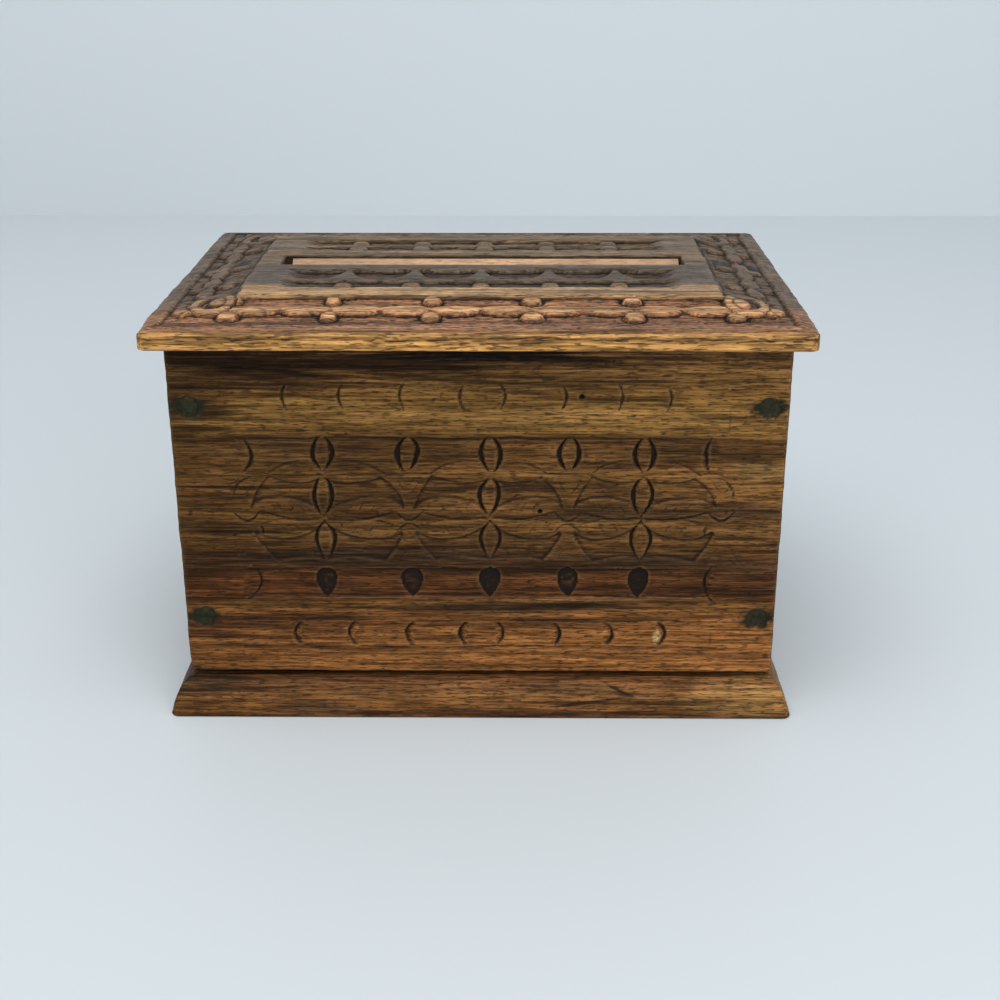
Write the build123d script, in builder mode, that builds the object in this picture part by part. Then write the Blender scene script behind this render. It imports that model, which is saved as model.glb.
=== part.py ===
from build123d import *

import math
import os

# Cigarette dispenser of carved hardwood, in millimetres.
# The case, with its hopper and lid, is lifted up a fixed blade that stands on the plinth. At the top of
# the lift one cigarette rolls onto the blade, and lowering the case brings it up through the lid's slot.
# The origin is the middle of the plinth's underside: X runs along the length, Y to the back, Z up.

# The cigarette that everything is sized for
cigarette_diameter = 8.0
cigarette_length = 100.0

# Plinth
plinth_thickness = 9.0
plinth_projection = 4.9
plinth_round = 4.4
plinth_corner_radius = 2.0

# Case walls
case_length = 142.2
case_depth = 97.2
wall_height = 82.8
wall_thickness = 9.0
wall_foot_gap = 1.2
case_corner_radius = 0.8
peg_radius = 2.5
peg_length = 23.0
peg_margin = 14.7
peg_fit = 0.05

# Lid
lid_overhang = 4.9
lid_edge = 4.5
lid_rise = 3.0
lid_band = 19.0
lid_corner_radius = 2.5

# Lifter blade
blade_length = 99.6
blade_thickness = cigarette_diameter + 0.5
blade_center_x = 0.6
blade_center_y = 5.0
blade_top_drop = 0.8
blade_foot_depth = 3.0
blade_foot_fit = 0.1
cradle_radius = 0.575 * cigarette_diameter
cradle_depth = 1.6

# Slot in the lid
slot_end_gap = 1.2
slot_side_gap = 1.25

# Bottom board, hopper and guides
board_thickness = 7.0
guide_gap = 0.35
hopper_slope = 22.0
hopper_floor_thickness = 4.0
throat_height = 18.0
blade_seat_drop = 3.3
rail_width = 9.0
chamber_end_gap = 1.5
cheek_top_drop = 0.5

# Screws through the plinth into the blade
blade_screw_spacing = 38.0
blade_screw_radius = 1.75
blade_screw_head_radius = 3.5
blade_screw_length = 22.0
blade_screw_sink = 0.4
screw_angle = 90.0
screw_fit = 0.05

# Butt hinges
hinge_spacing = 84.0
hinge_length = 25.0
hinge_leaf_width = 8.0
hinge_leaf_thickness = 1.0
knuckle_radius = 1.5
knuckle_room = 0.3
knuckle_gap = 0.15
middle_knuckle_length = 9.0
hinge_pin_radius = 0.75
hinge_pin_fit = 0.05
hinge_pin_head_radius = 1.15
hinge_pin_head_height = 0.4
leaf_fit = 0.05
hinge_screw_spacing = 16.0
hinge_screw_radius = 0.85
hinge_screw_head_radius = 1.8
body_screw_length = 9.0
lid_screw_length = 4.6
screw_slot_width = 0.45
screw_slot_depth = 0.4

# Heights, from the table up
plinth_top = plinth_thickness
board_top = plinth_top + board_thickness
wall_foot = plinth_top + wall_foot_gap
wall_top = wall_foot + wall_height
lid_rim = wall_top + lid_edge
lid_top = lid_rim + lid_rise
blade_foot = plinth_top - blade_foot_depth
blade_top = lid_top - blade_top_drop
throat_top = plinth_top + throat_height
stroke = blade_top - (throat_top - blade_seat_drop)

# Plan sizes
plinth_length = case_length + 2 * plinth_projection
plinth_depth = case_depth + 2 * plinth_projection
lid_length = case_length + 2 * lid_overhang
lid_depth = case_depth + 2 * lid_overhang
inner_length = case_length - 2 * wall_thickness
inner_depth = case_depth - 2 * wall_thickness
chamber_length = cigarette_length + 2 * chamber_end_gap
cheek_thickness = (inner_length - chamber_length) / 2
slot_length = blade_length + 2 * slot_end_gap
slot_width = blade_thickness + 2 * slot_side_gap
blade_front = blade_center_y - blade_thickness / 2
blade_back = blade_center_y + blade_thickness / 2
end_wall_x = (case_length - wall_thickness) / 2

# Peg rows, hinge axis and screw rows
peg_middle_z = wall_foot + wall_height / 2
peg_spacing_x = 2 * end_wall_x
peg_spacing_z = wall_height - 2 * peg_margin
hinge_axis_y = case_depth / 2 + knuckle_radius + knuckle_room
hinge_screw_y = case_depth / 2 - hinge_leaf_width / 2
leaf_inner_y = case_depth / 2 - hinge_leaf_width
knuckle_bore = hinge_pin_radius + hinge_pin_fit
hinge_axis_z = wall_top
flip = (180, 0, 0)

os.makedirs("parts", exist_ok=True)


# Plinth board: its top edge is rounded over all the way round, and it has a housing for the blade's foot
with BuildPart() as base_plate:
    with BuildSketch():
        Rectangle(plinth_length, plinth_depth)
    extrude(amount=plinth_top)
    fillet(base_plate.faces().sort_by(Axis.Z)[-1].edges(), radius=plinth_round)
    with BuildSketch():
        RectangleRounded(plinth_length, plinth_depth, plinth_corner_radius)
    extrude(amount=plinth_top, mode=Mode.INTERSECT)
    with BuildSketch(Plane.XY.offset(blade_foot)):
        with Locations((blade_center_x, blade_center_y)):
            Rectangle(blade_length + 2 * blade_foot_fit, blade_thickness + 2 * blade_foot_fit)
    extrude(amount=blade_foot_depth, mode=Mode.SUBTRACT)
    with Locations(Location((blade_center_x, blade_center_y, blade_screw_sink), flip)):
        with GridLocations(blade_screw_spacing, 1, 3, 1):
            CounterSinkHole(
                blade_screw_radius + screw_fit,
                blade_screw_head_radius + screw_fit,
                counter_sink_angle=screw_angle,
            )
base_plate.part.label = "base_plate"
export_step(base_plate.part, "parts/base_plate.step")

# Lifter blade: an upright board with a hollow cradle along its top edge
with BuildPart() as lifter_blade:
    with BuildSketch(Plane.YZ.offset(blade_center_x)):
        with Locations((blade_center_y, blade_foot)):
            Rectangle(blade_thickness, blade_top - blade_foot, align=(Align.CENTER, Align.MIN))
        with Locations((blade_center_y, blade_top + cradle_radius - cradle_depth)):
            Circle(cradle_radius, mode=Mode.SUBTRACT)
    extrude(amount=blade_length / 2, both=True)
    with Locations(Location((blade_center_x, blade_center_y, blade_foot), flip)):
        with GridLocations(blade_screw_spacing, 1, 3, 1):
            Hole(
                blade_screw_radius + screw_fit,
                depth=blade_screw_length + blade_screw_sink + screw_fit - blade_foot,
            )
lifter_blade.part.label = "lifter_blade"
export_step(lifter_blade.part, "parts/lifter_blade.step")

# Countersunk steel screws that hold the blade, heads just below the plinth's underside
with BuildPart() as blade_screws:
    with Locations(Location((blade_center_x, blade_center_y, blade_screw_sink), flip)):
        with GridLocations(blade_screw_spacing, 1, 3, 1):
            Cylinder(
                blade_screw_radius,
                blade_screw_length,
                align=(Align.CENTER, Align.CENTER, Align.MAX),
            )
            Cone(
                blade_screw_radius,
                blade_screw_head_radius,
                (blade_screw_head_radius - blade_screw_radius) / math.tan(math.radians(screw_angle / 2)),
                align=(Align.CENTER, Align.CENTER, Align.MAX),
            )
            Box(
                2 * blade_screw_head_radius,
                2 * screw_slot_width,
                2 * screw_slot_depth,
                align=(Align.CENTER, Align.CENTER, Align.MAX),
                mode=Mode.SUBTRACT,
            )
blade_screws.part.label = "blade_screws"
export_step(blade_screws.part, "parts/blade_screws.step")

# Front and back walls run the whole length of the case and carry the pegs' clear holes
for name, side in (("front_wall", -1), ("back_wall", 1)):
    with BuildPart() as long_wall:
        with BuildSketch(Plane.XY.offset(wall_foot)):
            with Locations((0, side * (case_depth - wall_thickness) / 2)):
                Rectangle(case_length, wall_thickness)
        extrude(amount=wall_height)
        outer_corners = long_wall.edges().filter_by(Axis.Z).sort_by(Axis.Y)
        fillet(outer_corners[:2] if side < 0 else outer_corners[-2:], radius=case_corner_radius)
        with BuildSketch(Plane.XZ.offset(-side * case_depth / 2)):
            with Locations((0, peg_middle_z)):
                with GridLocations(peg_spacing_x, peg_spacing_z, 2, 2):
                    Circle(peg_radius + peg_fit)
        extrude(amount=side * wall_thickness, mode=Mode.SUBTRACT)
        if side > 0:
            # Shallow mortises for the hinge leaves, open at the outer face
            with BuildSketch(Plane.XY.offset(wall_top)):
                with GridLocations(hinge_spacing, 1, 2, 1):
                    with Locations((0, case_depth / 2)):
                        Rectangle(
                            hinge_length + 2 * leaf_fit,
                            2 * (hinge_leaf_width + leaf_fit),
                        )
            extrude(amount=-hinge_leaf_thickness, mode=Mode.SUBTRACT)
            with Locations((0, hinge_screw_y, wall_top - hinge_leaf_thickness)):
                with GridLocations(hinge_spacing, 1, 2, 1):
                    with GridLocations(hinge_screw_spacing, 1, 2, 1):
                        Hole(
                            hinge_screw_radius + screw_fit,
                            depth=body_screw_length - hinge_leaf_thickness + screw_fit,
                        )
    long_wall.part.label = name
    export_step(long_wall.part, f"parts/{name}.step")

# End walls stand between the long walls and take the pegs in their end grain
for name, side in (("left_end_wall", -1), ("right_end_wall", 1)):
    with BuildPart() as end_wall:
        with BuildSketch(Plane.XY.offset(wall_foot)):
            with Locations((side * end_wall_x, 0)):
                Rectangle(wall_thickness, inner_depth)
        extrude(amount=wall_height)
        for end in (-1, 1):
            with BuildSketch(Plane.XZ.offset(-end * inner_depth / 2)):
                with Locations((side * end_wall_x, peg_middle_z)):
                    with GridLocations(1, peg_spacing_z, 1, 2):
                        Circle(peg_radius + peg_fit)
            extrude(amount=end * (peg_length - wall_thickness + peg_fit), mode=Mode.SUBTRACT)
    end_wall.part.label = name
    export_step(end_wall.part, f"parts/{name}.step")

# Round wooden pegs through the long walls, cut off flush with the face
for name, side in (("front_wall_pegs", -1), ("back_wall_pegs", 1)):
    with BuildPart() as pegs:
        with BuildSketch(Plane.XZ.offset(-side * case_depth / 2)):
            with Locations((0, peg_middle_z)):
                with GridLocations(peg_spacing_x, peg_spacing_z, 2, 2):
                    Circle(peg_radius)
        extrude(amount=side * peg_length)
    pegs.part.label = name
    export_step(pegs.part, f"parts/{name}.step")

# Bottom board between the walls, standing a little below them, with the slot that slides on the blade
with BuildPart() as bottom_board:
    with BuildSketch(Plane.XY.offset(plinth_top)):
        Rectangle(inner_length, inner_depth)
        with Locations((blade_center_x, blade_center_y)):
            Rectangle(
                blade_length + 2 * guide_gap,
                blade_thickness + 2 * guide_gap,
                mode=Mode.SUBTRACT,
            )
    extrude(amount=board_thickness)
bottom_board.part.label = "bottom_board"
export_step(bottom_board.part, "parts/bottom_board.step")

# Cheeks at the ends of the chamber keep the cigarettes in line with the blade
for name, side in (("left_cheek", -1), ("right_cheek", 1)):
    with BuildPart() as cheek:
        with BuildSketch(Plane.XY.offset(board_top)):
            with Locations((side * (chamber_length + cheek_thickness) / 2, 0)):
                Rectangle(cheek_thickness, inner_depth)
        extrude(amount=wall_top - cheek_top_drop - board_top)
    cheek.part.label = name
    export_step(cheek.part, f"parts/{name}.step")

# Sloping hopper floors down to the throat, and the guide rails that carry their low edges
slope_rise = math.tan(math.radians(hopper_slope))
floor_drop = hopper_floor_thickness / math.cos(math.radians(hopper_slope))
for side_name, side, blade_face in (("front", -1, blade_front), ("back", 1, blade_back)):
    throat_y = blade_face + side * guide_gap
    wall_y = side * inner_depth / 2
    rail_y = throat_y + side * rail_width
    floor_high = throat_top + abs(wall_y - throat_y) * slope_rise
    rail_high = throat_top + rail_width * slope_rise - floor_drop
    with BuildPart() as hopper_floor:
        with BuildSketch(Plane.YZ):
            with BuildLine():
                Polyline(
                    (throat_y, throat_top),
                    (throat_y, throat_top - floor_drop),
                    (wall_y, floor_high - floor_drop),
                    (wall_y, floor_high),
                    close=True,
                )
            make_face()
        extrude(amount=chamber_length / 2, both=True)
    hopper_floor.part.label = f"{side_name}_hopper_floor"
    export_step(hopper_floor.part, f"parts/{side_name}_hopper_floor.step")
    with BuildPart() as guide_rail:
        with BuildSketch(Plane.YZ):
            with BuildLine():
                Polyline(
                    (throat_y, board_top),
                    (throat_y, throat_top - floor_drop),
                    (rail_y, rail_high),
                    (rail_y, board_top),
                    close=True,
                )
            make_face()
        extrude(amount=chamber_length / 2, both=True)
    guide_rail.part.label = f"{side_name}_guide_rail"
    export_step(guide_rail.part, f"parts/{side_name}_guide_rail.step")

# Lid: a flat raised panel with sloping borders, the long slot, and mortises for the hinges below
with BuildPart() as lid:
    with BuildSketch(Plane.XY.offset(wall_top)):
        Rectangle(lid_length, lid_depth)
    extrude(amount=lid_edge)
    with BuildSketch(Plane.XY.offset(lid_rim)):
        Rectangle(lid_length, lid_depth)
    with BuildSketch(Plane.XY.offset(lid_top)):
        Rectangle(lid_length - 2 * lid_band, lid_depth - 2 * lid_band)
    loft()
    with BuildSketch(Plane.XY.offset(wall_top)):
        RectangleRounded(lid_length, lid_depth, lid_corner_radius)
    extrude(amount=lid_edge + lid_rise, mode=Mode.INTERSECT)
    with BuildSketch(Plane.XY.offset(wall_top)):
        with Locations((0, blade_center_y)):
            Rectangle(slot_length, slot_width)
    extrude(amount=lid_edge + lid_rise, mode=Mode.SUBTRACT)
    # Mortises for the leaves and round grooves over the knuckles
    with BuildSketch(Plane.XY.offset(wall_top)):
        with Locations((0, (leaf_inner_y - leaf_fit + hinge_axis_y) / 2)):
            with GridLocations(hinge_spacing, 1, 2, 1):
                Rectangle(hinge_length + 2 * leaf_fit, hinge_axis_y - leaf_inner_y + leaf_fit)
    extrude(amount=hinge_leaf_thickness, mode=Mode.SUBTRACT)
    for hinge_x in (-hinge_spacing / 2, hinge_spacing / 2):
        with BuildSketch(Plane.YZ.offset(hinge_x)):
            with Locations((hinge_axis_y, hinge_axis_z)):
                Circle(knuckle_radius + knuckle_room)
        extrude(
            amount=hinge_length / 2 + hinge_pin_head_height + knuckle_room,
            both=True,
            mode=Mode.SUBTRACT,
        )
    with Locations(Location((0, hinge_screw_y, wall_top + hinge_leaf_thickness), flip)):
        with GridLocations(hinge_spacing, 1, 2, 1):
            with GridLocations(hinge_screw_spacing, 1, 2, 1):
                Hole(
                    hinge_screw_radius + screw_fit,
                    depth=lid_screw_length - hinge_leaf_thickness + screw_fit,
                )
lid.part.label = "lid"
export_step(lid.part, "parts/lid.step")

# Brass butt hinges: a leaf on the case with two outer knuckles, a leaf on the lid with the middle one
outer_knuckle_start = middle_knuckle_length / 2 + knuckle_gap
outer_knuckle_length = hinge_length / 2 - outer_knuckle_start
outer_knuckle_middle = outer_knuckle_start + outer_knuckle_length / 2
for side_name, side in (("left", -1), ("right", 1)):
    hinge_x = side * hinge_spacing / 2
    outer_knuckles = (hinge_x - outer_knuckle_middle, hinge_x + outer_knuckle_middle)
    leaves = (
        ("body", -1, outer_knuckles, outer_knuckle_length, (hinge_x,), middle_knuckle_length),
        ("lid", 1, (hinge_x,), middle_knuckle_length, outer_knuckles, outer_knuckle_length),
    )
    for leaf_name, up, own_knuckles, own_length, other_knuckles, other_length in leaves:
        with BuildPart() as leaf:
            with BuildSketch(Plane.XY.offset(wall_top)):
                with Locations((hinge_x, (leaf_inner_y + hinge_axis_y) / 2)):
                    Rectangle(hinge_length, hinge_axis_y - leaf_inner_y)
            extrude(amount=up * hinge_leaf_thickness)
            for knuckle_x in other_knuckles:
                with BuildSketch(Plane.YZ.offset(knuckle_x)):
                    with Locations((hinge_axis_y, hinge_axis_z)):
                        Circle(knuckle_radius + knuckle_gap)
                extrude(amount=other_length / 2 + knuckle_gap, both=True, mode=Mode.SUBTRACT)
            for knuckle_x in own_knuckles:
                with BuildSketch(Plane.YZ.offset(knuckle_x)):
                    with Locations((hinge_axis_y, hinge_axis_z)):
                        Circle(knuckle_radius)
                extrude(amount=own_length / 2, both=True)
            with BuildSketch(Plane.YZ.offset(hinge_x)):
                with Locations((hinge_axis_y, hinge_axis_z)):
                    Circle(knuckle_bore)
            extrude(amount=hinge_length, both=True, mode=Mode.SUBTRACT)
            turn = (0, 0, 0) if leaf_name == "body" else flip
            with Locations(Location((hinge_x, hinge_screw_y, wall_top), turn)):
                with GridLocations(hinge_screw_spacing, 1, 2, 1):
                    CounterSinkHole(
                        hinge_screw_radius + screw_fit,
                        hinge_screw_head_radius + screw_fit,
                        depth=2 * hinge_leaf_thickness,
                        counter_sink_angle=screw_angle,
                    )
        leaf.part.label = f"{side_name}_hinge_{leaf_name}_leaf"
        export_step(leaf.part, f"parts/{side_name}_hinge_{leaf_name}_leaf.step")

    # Hinge pin with a small flat head at each end
    with BuildPart() as hinge_pin:
        with BuildSketch(Plane.YZ.offset(hinge_x)):
            with Locations((hinge_axis_y, hinge_axis_z)):
                Circle(hinge_pin_radius)
        extrude(amount=hinge_length / 2 + hinge_pin_head_height, both=True)
        for end in (-1, 1):
            with BuildSketch(Plane.YZ.offset(hinge_x + end * hinge_length / 2)):
                with Locations((hinge_axis_y, hinge_axis_z)):
                    Circle(hinge_pin_head_radius)
            extrude(amount=end * hinge_pin_head_height)
    hinge_pin.part.label = f"{side_name}_hinge_pin"
    export_step(hinge_pin.part, f"parts/{side_name}_hinge_pin.step")

# Countersunk brass screws through the leaves, heads flush with the brass
hinge_screw_sets = (
    ("hinge_body_screws", (0, 0, 0), body_screw_length),
    ("hinge_lid_screws", flip, lid_screw_length),
)
for name, turn, screw_length in hinge_screw_sets:
    with BuildPart() as hinge_screws:
        with Locations(Location((0, hinge_screw_y, wall_top), turn)):
            with GridLocations(hinge_spacing, 1, 2, 1):
                with GridLocations(hinge_screw_spacing, 1, 2, 1):
                    Cylinder(
                        hinge_screw_radius,
                        screw_length,
                        align=(Align.CENTER, Align.CENTER, Align.MAX),
                    )
                    Cone(
                        hinge_screw_radius,
                        hinge_screw_head_radius,
                        (hinge_screw_head_radius - hinge_screw_radius)
                        / math.tan(math.radians(screw_angle / 2)),
                        align=(Align.CENTER, Align.CENTER, Align.MAX),
                    )
                    Box(
                        2 * hinge_screw_head_radius,
                        screw_slot_width,
                        screw_slot_depth,
                        align=(Align.CENTER, Align.CENTER, Align.MAX),
                        mode=Mode.SUBTRACT,
                    )
    hinge_screws.part.label = name
    export_step(hinge_screws.part, f"parts/{name}.step")

print("case travel up the blade:", round(stroke, 2))
print("hinge axis y, z:", round(hinge_axis_y, 3), round(hinge_axis_z, 3))
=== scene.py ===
"""Looks of a carved hardwood cigarette dispenser: a lidded case that lifts on a fixed blade.

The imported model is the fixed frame. The walls, the lid, the plinth and the pegs are new surfaces worked
out with numpy, and the other pieces keep their shape and get worn edges and a finish. Sizes here are
millimetres, and a mesh gets its metres only when it is made.
"""

import math
from collections import namedtuple
from functools import reduce

import bpy
import numpy as np
from mathutils import Matrix, Vector


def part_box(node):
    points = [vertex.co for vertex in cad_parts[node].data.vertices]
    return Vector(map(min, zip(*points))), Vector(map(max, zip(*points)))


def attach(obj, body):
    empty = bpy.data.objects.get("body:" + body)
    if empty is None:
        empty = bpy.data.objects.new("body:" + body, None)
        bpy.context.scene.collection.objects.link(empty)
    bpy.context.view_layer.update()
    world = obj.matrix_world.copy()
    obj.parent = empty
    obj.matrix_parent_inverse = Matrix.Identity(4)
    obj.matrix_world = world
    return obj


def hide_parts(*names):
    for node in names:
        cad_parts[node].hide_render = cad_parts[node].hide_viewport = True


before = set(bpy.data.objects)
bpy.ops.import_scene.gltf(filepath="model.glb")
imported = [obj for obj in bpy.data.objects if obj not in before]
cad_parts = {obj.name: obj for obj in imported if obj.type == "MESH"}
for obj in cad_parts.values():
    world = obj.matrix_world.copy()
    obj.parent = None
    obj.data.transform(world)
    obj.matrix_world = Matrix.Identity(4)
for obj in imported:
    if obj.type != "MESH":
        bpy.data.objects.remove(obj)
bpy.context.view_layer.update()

bl_info = {
    "name": "Carved Cigarette Dispenser",
    "version": (1, 0, 0),
    "blender": (4, 5, 0),
    "location": "View3D > Sidebar > Dispenser",
    "description": "Builds the carved walls, lid, plinth, pegs and finishes of a wooden cigarette dispenser",
    "category": "Object",
}

MM = 0.001


def box_mm(name):
    """Lowest and highest corner of a frame node, in millimetres."""
    low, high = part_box(name)
    return np.array(low) / MM, np.array(high) / MM


# Places taken from the frame
WALL_LOW, WALL_HIGH = box_mm("front_wall")
END_LOW, END_HIGH = box_mm("right_end_wall")
LID_LOW, LID_HIGH = box_mm("lid")
BLADE_LOW, BLADE_HIGH = box_mm("lifter_blade")
LEAF_LOW, LEAF_HIGH = box_mm("right_hinge_body_leaf")
PIN_LOW, PIN_HIGH = box_mm("right_hinge_pin")
PEG_LOW, PEG_HIGH = box_mm("front_wall_pegs")
PLINTH_HIGH = box_mm("base_plate")[1]
SCREW_LOW, SCREW_HIGH = box_mm("blade_screws")
HALF_CASE = WALL_HIGH[0]
HALF_DEPTH = -WALL_LOW[1]
HALF_INNER = END_HIGH[1]
WALL_INNER = -WALL_HIGH[1]
FOOT = WALL_LOW[2]
TOP = WALL_HIGH[2]
AXIS_Y = (PIN_LOW[1] + PIN_HIGH[1]) / 2

# The plinth: round corners and edge, the housing of the blade's foot, and the countersinks of its screws
PLINTH_CORNER = 2.2
PLINTH_EDGE = 4.9
PLINTH_ARRIS = 0.35
PLINTH_FLAT = 5.2
HOUSING_FIT = 0.1
SCREW_HEAD = 3.5
SCREW_FIT = 0.05
SCREW_SINK = 0.4
SCREW_SLOPE = 1.75

# The pegs, their seats in the wall and the half size of the stain round each
PEG_RADIUS = 2.5
PEG_SEAT = 2.7
PEG_SEAT_DEPTH = 0.45
PEG_SIDES = 28
PEG_FACE = HALF_DEPTH - 0.28
PEG_X = PEG_HIGH[0] - PEG_RADIUS
PEG_ROWS = (PEG_LOW[2] + PEG_RADIUS, PEG_HIGH[2] - PEG_RADIUS)
PEG_PLACES = tuple((x, z) for x in (-PEG_X, PEG_X) for z in PEG_ROWS)
PEG_INNER = -PEG_HIGH[1]
STAIN_HALF = (3.9, 2.1)

# The lid: its edge, the rise and widths of its carved band, its corners and its slot
LID_EDGE = 4.5
LID_RISE = 3.0
LID_BAND = 19.0
LID_FRONT_BAND = 21.5
FRONT_SCALE = LID_BAND / LID_FRONT_BAND
LID_DROOP = 0.9
LID_CORNER = 2.5
LID_ROUND = 0.8
RIM_ROWS = np.array([0.86, 0.66, 0.46, 0.26, 0.08])
SLOT_HALF = (BLADE_HIGH[0] - BLADE_LOW[0]) / 2 + 1.2
SLOT_Y = (BLADE_LOW[1] - 1.25, BLADE_HIGH[1] + 0.5)

# The hinges' leaves and the hollow over their knuckles
LEAF_FIT = 0.05
LEAF_THICKNESS = 1.0
LEAF_EDGE = LEAF_LOW[1] - LEAF_FIT
KNUCKLE_ROOM = 1.8
HINGE_X = (LEAF_LOW[0] + LEAF_HIGH[0]) / 2
HINGE_HALF = (LEAF_HIGH[0] - LEAF_LOW[0]) / 2 + LEAF_FIT
HINGE_ENDS = tuple(side * HINGE_X + end * HINGE_HALF for side in (-1, 1) for end in (-1, 1))

# Half the run of an upright step, the inset of an underside from its rim, the least gap between two of its
# rows, and the bevel on a wall's inner edges
STEP_SLOPE = 0.01
UNDER_INSET = 0.3
UNDER_GAP = 0.03
INNER_BEVEL = 0.2

INNER_NODES = (
    "bottom_board",
    "left_cheek",
    "right_cheek",
    "front_hopper_floor",
    "back_hopper_floor",
    "front_guide_rail",
    "back_guide_rail",
)
HINGE_NODES = (
    "left_hinge_body_leaf",
    "right_hinge_body_leaf",
    "left_hinge_lid_leaf",
    "right_hinge_lid_leaf",
    "left_hinge_pin",
    "right_hinge_pin",
    "hinge_body_screws",
    "hinge_lid_screws",
)


class DispenserCarving(bpy.types.PropertyGroup):
    """Depths of the carving."""

    ground_depth: bpy.props.FloatProperty(
        name="Ground depth",
        description="Depth of the ground round the carved leaves on the walls",
        default=0.55 * MM,
        min=0,
        max=2 * MM,
        subtype="DISTANCE",
        unit="LENGTH",
    )
    crescent_depth: bpy.props.FloatProperty(
        name="Crescent depth",
        description="Depth of the gouge cuts beside the upright leaves",
        default=1.0 * MM,
        min=0,
        max=2.5 * MM,
        subtype="DISTANCE",
        unit="LENGTH",
    )
    lid_depth: bpy.props.FloatProperty(
        name="Lid ground depth",
        description="Depth of the ground round the leaf chain and the fans on the lid",
        default=0.95 * MM,
        min=0,
        max=2 * MM,
        subtype="DISTANCE",
        unit="LENGTH",
    )
    hand_wobble: bpy.props.FloatProperty(
        name="Hand wobble",
        description="How far the hand-cut lines stray from true",
        default=0.28 * MM,
        min=0,
        max=1 * MM,
        subtype="DISTANCE",
        unit="LENGTH",
    )


class DispenserFinish(bpy.types.PropertyGroup):
    """Colours of the woods and metals."""

    golden: bpy.props.FloatVectorProperty(
        name="Golden sapwood",
        description="Colour of the palest bands of the carved hardwood",
        subtype="COLOR",
        size=3,
        min=0,
        max=1,
        default=(0.2, 0.105, 0.033),
    )
    heart: bpy.props.FloatVectorProperty(
        name="Dark heartwood",
        description="Colour of the dark streaks of the carved hardwood",
        subtype="COLOR",
        size=3,
        min=0,
        max=1,
        default=(0.02, 0.0095, 0.0045),
    )
    blade: bpy.props.FloatVectorProperty(
        name="Blade wood",
        description="Colour of the worn lifter blade",
        subtype="COLOR",
        size=3,
        min=0,
        max=1,
        default=(0.58, 0.345, 0.185),
    )
    inner: bpy.props.FloatVectorProperty(
        name="Inner wood",
        description="Colour of the plain wood inside the case",
        subtype="COLOR",
        size=3,
        min=0,
        max=1,
        default=(0.24, 0.135, 0.065),
    )
    brass: bpy.props.FloatVectorProperty(
        name="Brass",
        description="Colour of the hinges and their screws",
        subtype="COLOR",
        size=3,
        min=0,
        max=1,
        default=(0.62, 0.44, 0.2),
    )


class DispenserStage(bpy.types.PropertyGroup):
    """Floor, light and camera."""

    floor_color: bpy.props.FloatVectorProperty(
        name="Floor",
        description="Colour of the floor and the backdrop",
        subtype="COLOR",
        size=3,
        min=0,
        max=1,
        default=(0.56, 0.595, 0.618),
    )
    backdrop_distance: bpy.props.FloatProperty(
        name="Backdrop distance",
        description="How far behind the object the floor turns up into the backdrop",
        default=0.575,
        min=0.2,
        max=3,
        subtype="DISTANCE",
        unit="LENGTH",
    )
    key_power: bpy.props.FloatProperty(
        name="Key light",
        description="Power of the large lamp above the front",
        default=6.7,
        min=0,
        max=200,
        subtype="POWER",
        unit="POWER",
    )
    fill_power: bpy.props.FloatProperty(
        name="Fill light",
        description="Power of the lamp in front",
        default=4.7,
        min=0,
        max=200,
        subtype="POWER",
        unit="POWER",
    )
    sky_strength: bpy.props.FloatProperty(
        name="Sky strength",
        description="Strength of the even light from all round",
        default=0.87,
        min=0,
        max=5,
    )


# Grids, noise and meshes
LATTICE = 128


def grid_lines(*spans):
    """Places of grid lines: each span of (start, stop, pitch) is cut into equal steps near its pitch."""
    parts = []
    for start, stop, pitch in spans:
        steps = max(1, round(abs(stop - start) / pitch))
        parts.append(np.linspace(start, stop, steps + 1)[:-1])
    return np.concatenate(parts + [[spans[-1][1]]])


def smooth(value):
    """Rises from 0 to 1 as the value does, flat at both ends: 3 x^2 - 2 x^3."""
    value = np.clip(value, 0, 1)
    return value * value * (3 - 2 * value)


def patch_noise(u, v, cell_u, cell_v, seed):
    """Smooth noise between -1 and 1: random heights on a lattice of cells, joined by smooth steps."""
    heights = np.random.default_rng(seed).uniform(-1, 1, (LATTICE, LATTICE))
    a, b = u / cell_u, v / cell_v
    i, j = np.floor(a).astype(int), np.floor(b).astype(int)
    s, t = smooth(a - i), smooth(b - j)
    i, j = i % LATTICE, j % LATTICE
    k, m = (i + 1) % LATTICE, (j + 1) % LATTICE
    low = heights[i, j] * (1 - s) + heights[k, j] * s
    high = heights[i, m] * (1 - s) + heights[k, m] * s
    return low * (1 - t) + high * t


def line_noise(u, cell, seed):
    """Smooth noise between -1 and 1 that changes along u only."""
    return patch_noise(u, u * 0, cell, 1, seed)


def strayed(u, v, amount, seed):
    """The point, moved by slow noise, so that straight and round lines look cut by hand."""
    du = amount * (patch_noise(u, v, 7, 7, seed) + 0.4 * patch_noise(u, v, 2.2, 2.2, seed + 1))
    dv = amount * (patch_noise(u, v, 7, 7, seed + 2) + 0.4 * patch_noise(u, v, 2.2, 2.2, seed + 3))
    return u + du, v + dv


def blurred(height, reach):
    """Mean of a grid of heights over a square of 2 reach + 1 points, from running sums."""
    for axis in (0, 1):
        before = np.repeat(np.take(height, [0], axis), reach + 1, axis)
        after = np.repeat(np.take(height, [-1], axis), reach, axis)
        sums = np.cumsum(np.concatenate([before, height, after], axis), axis)
        count = height.shape[axis]
        width = 2 * reach + 1
        upper = np.take(sums, np.arange(width, width + count), axis)
        lower = np.take(sums, np.arange(count), axis)
        height = (upper - lower) / width
    return height


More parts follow.
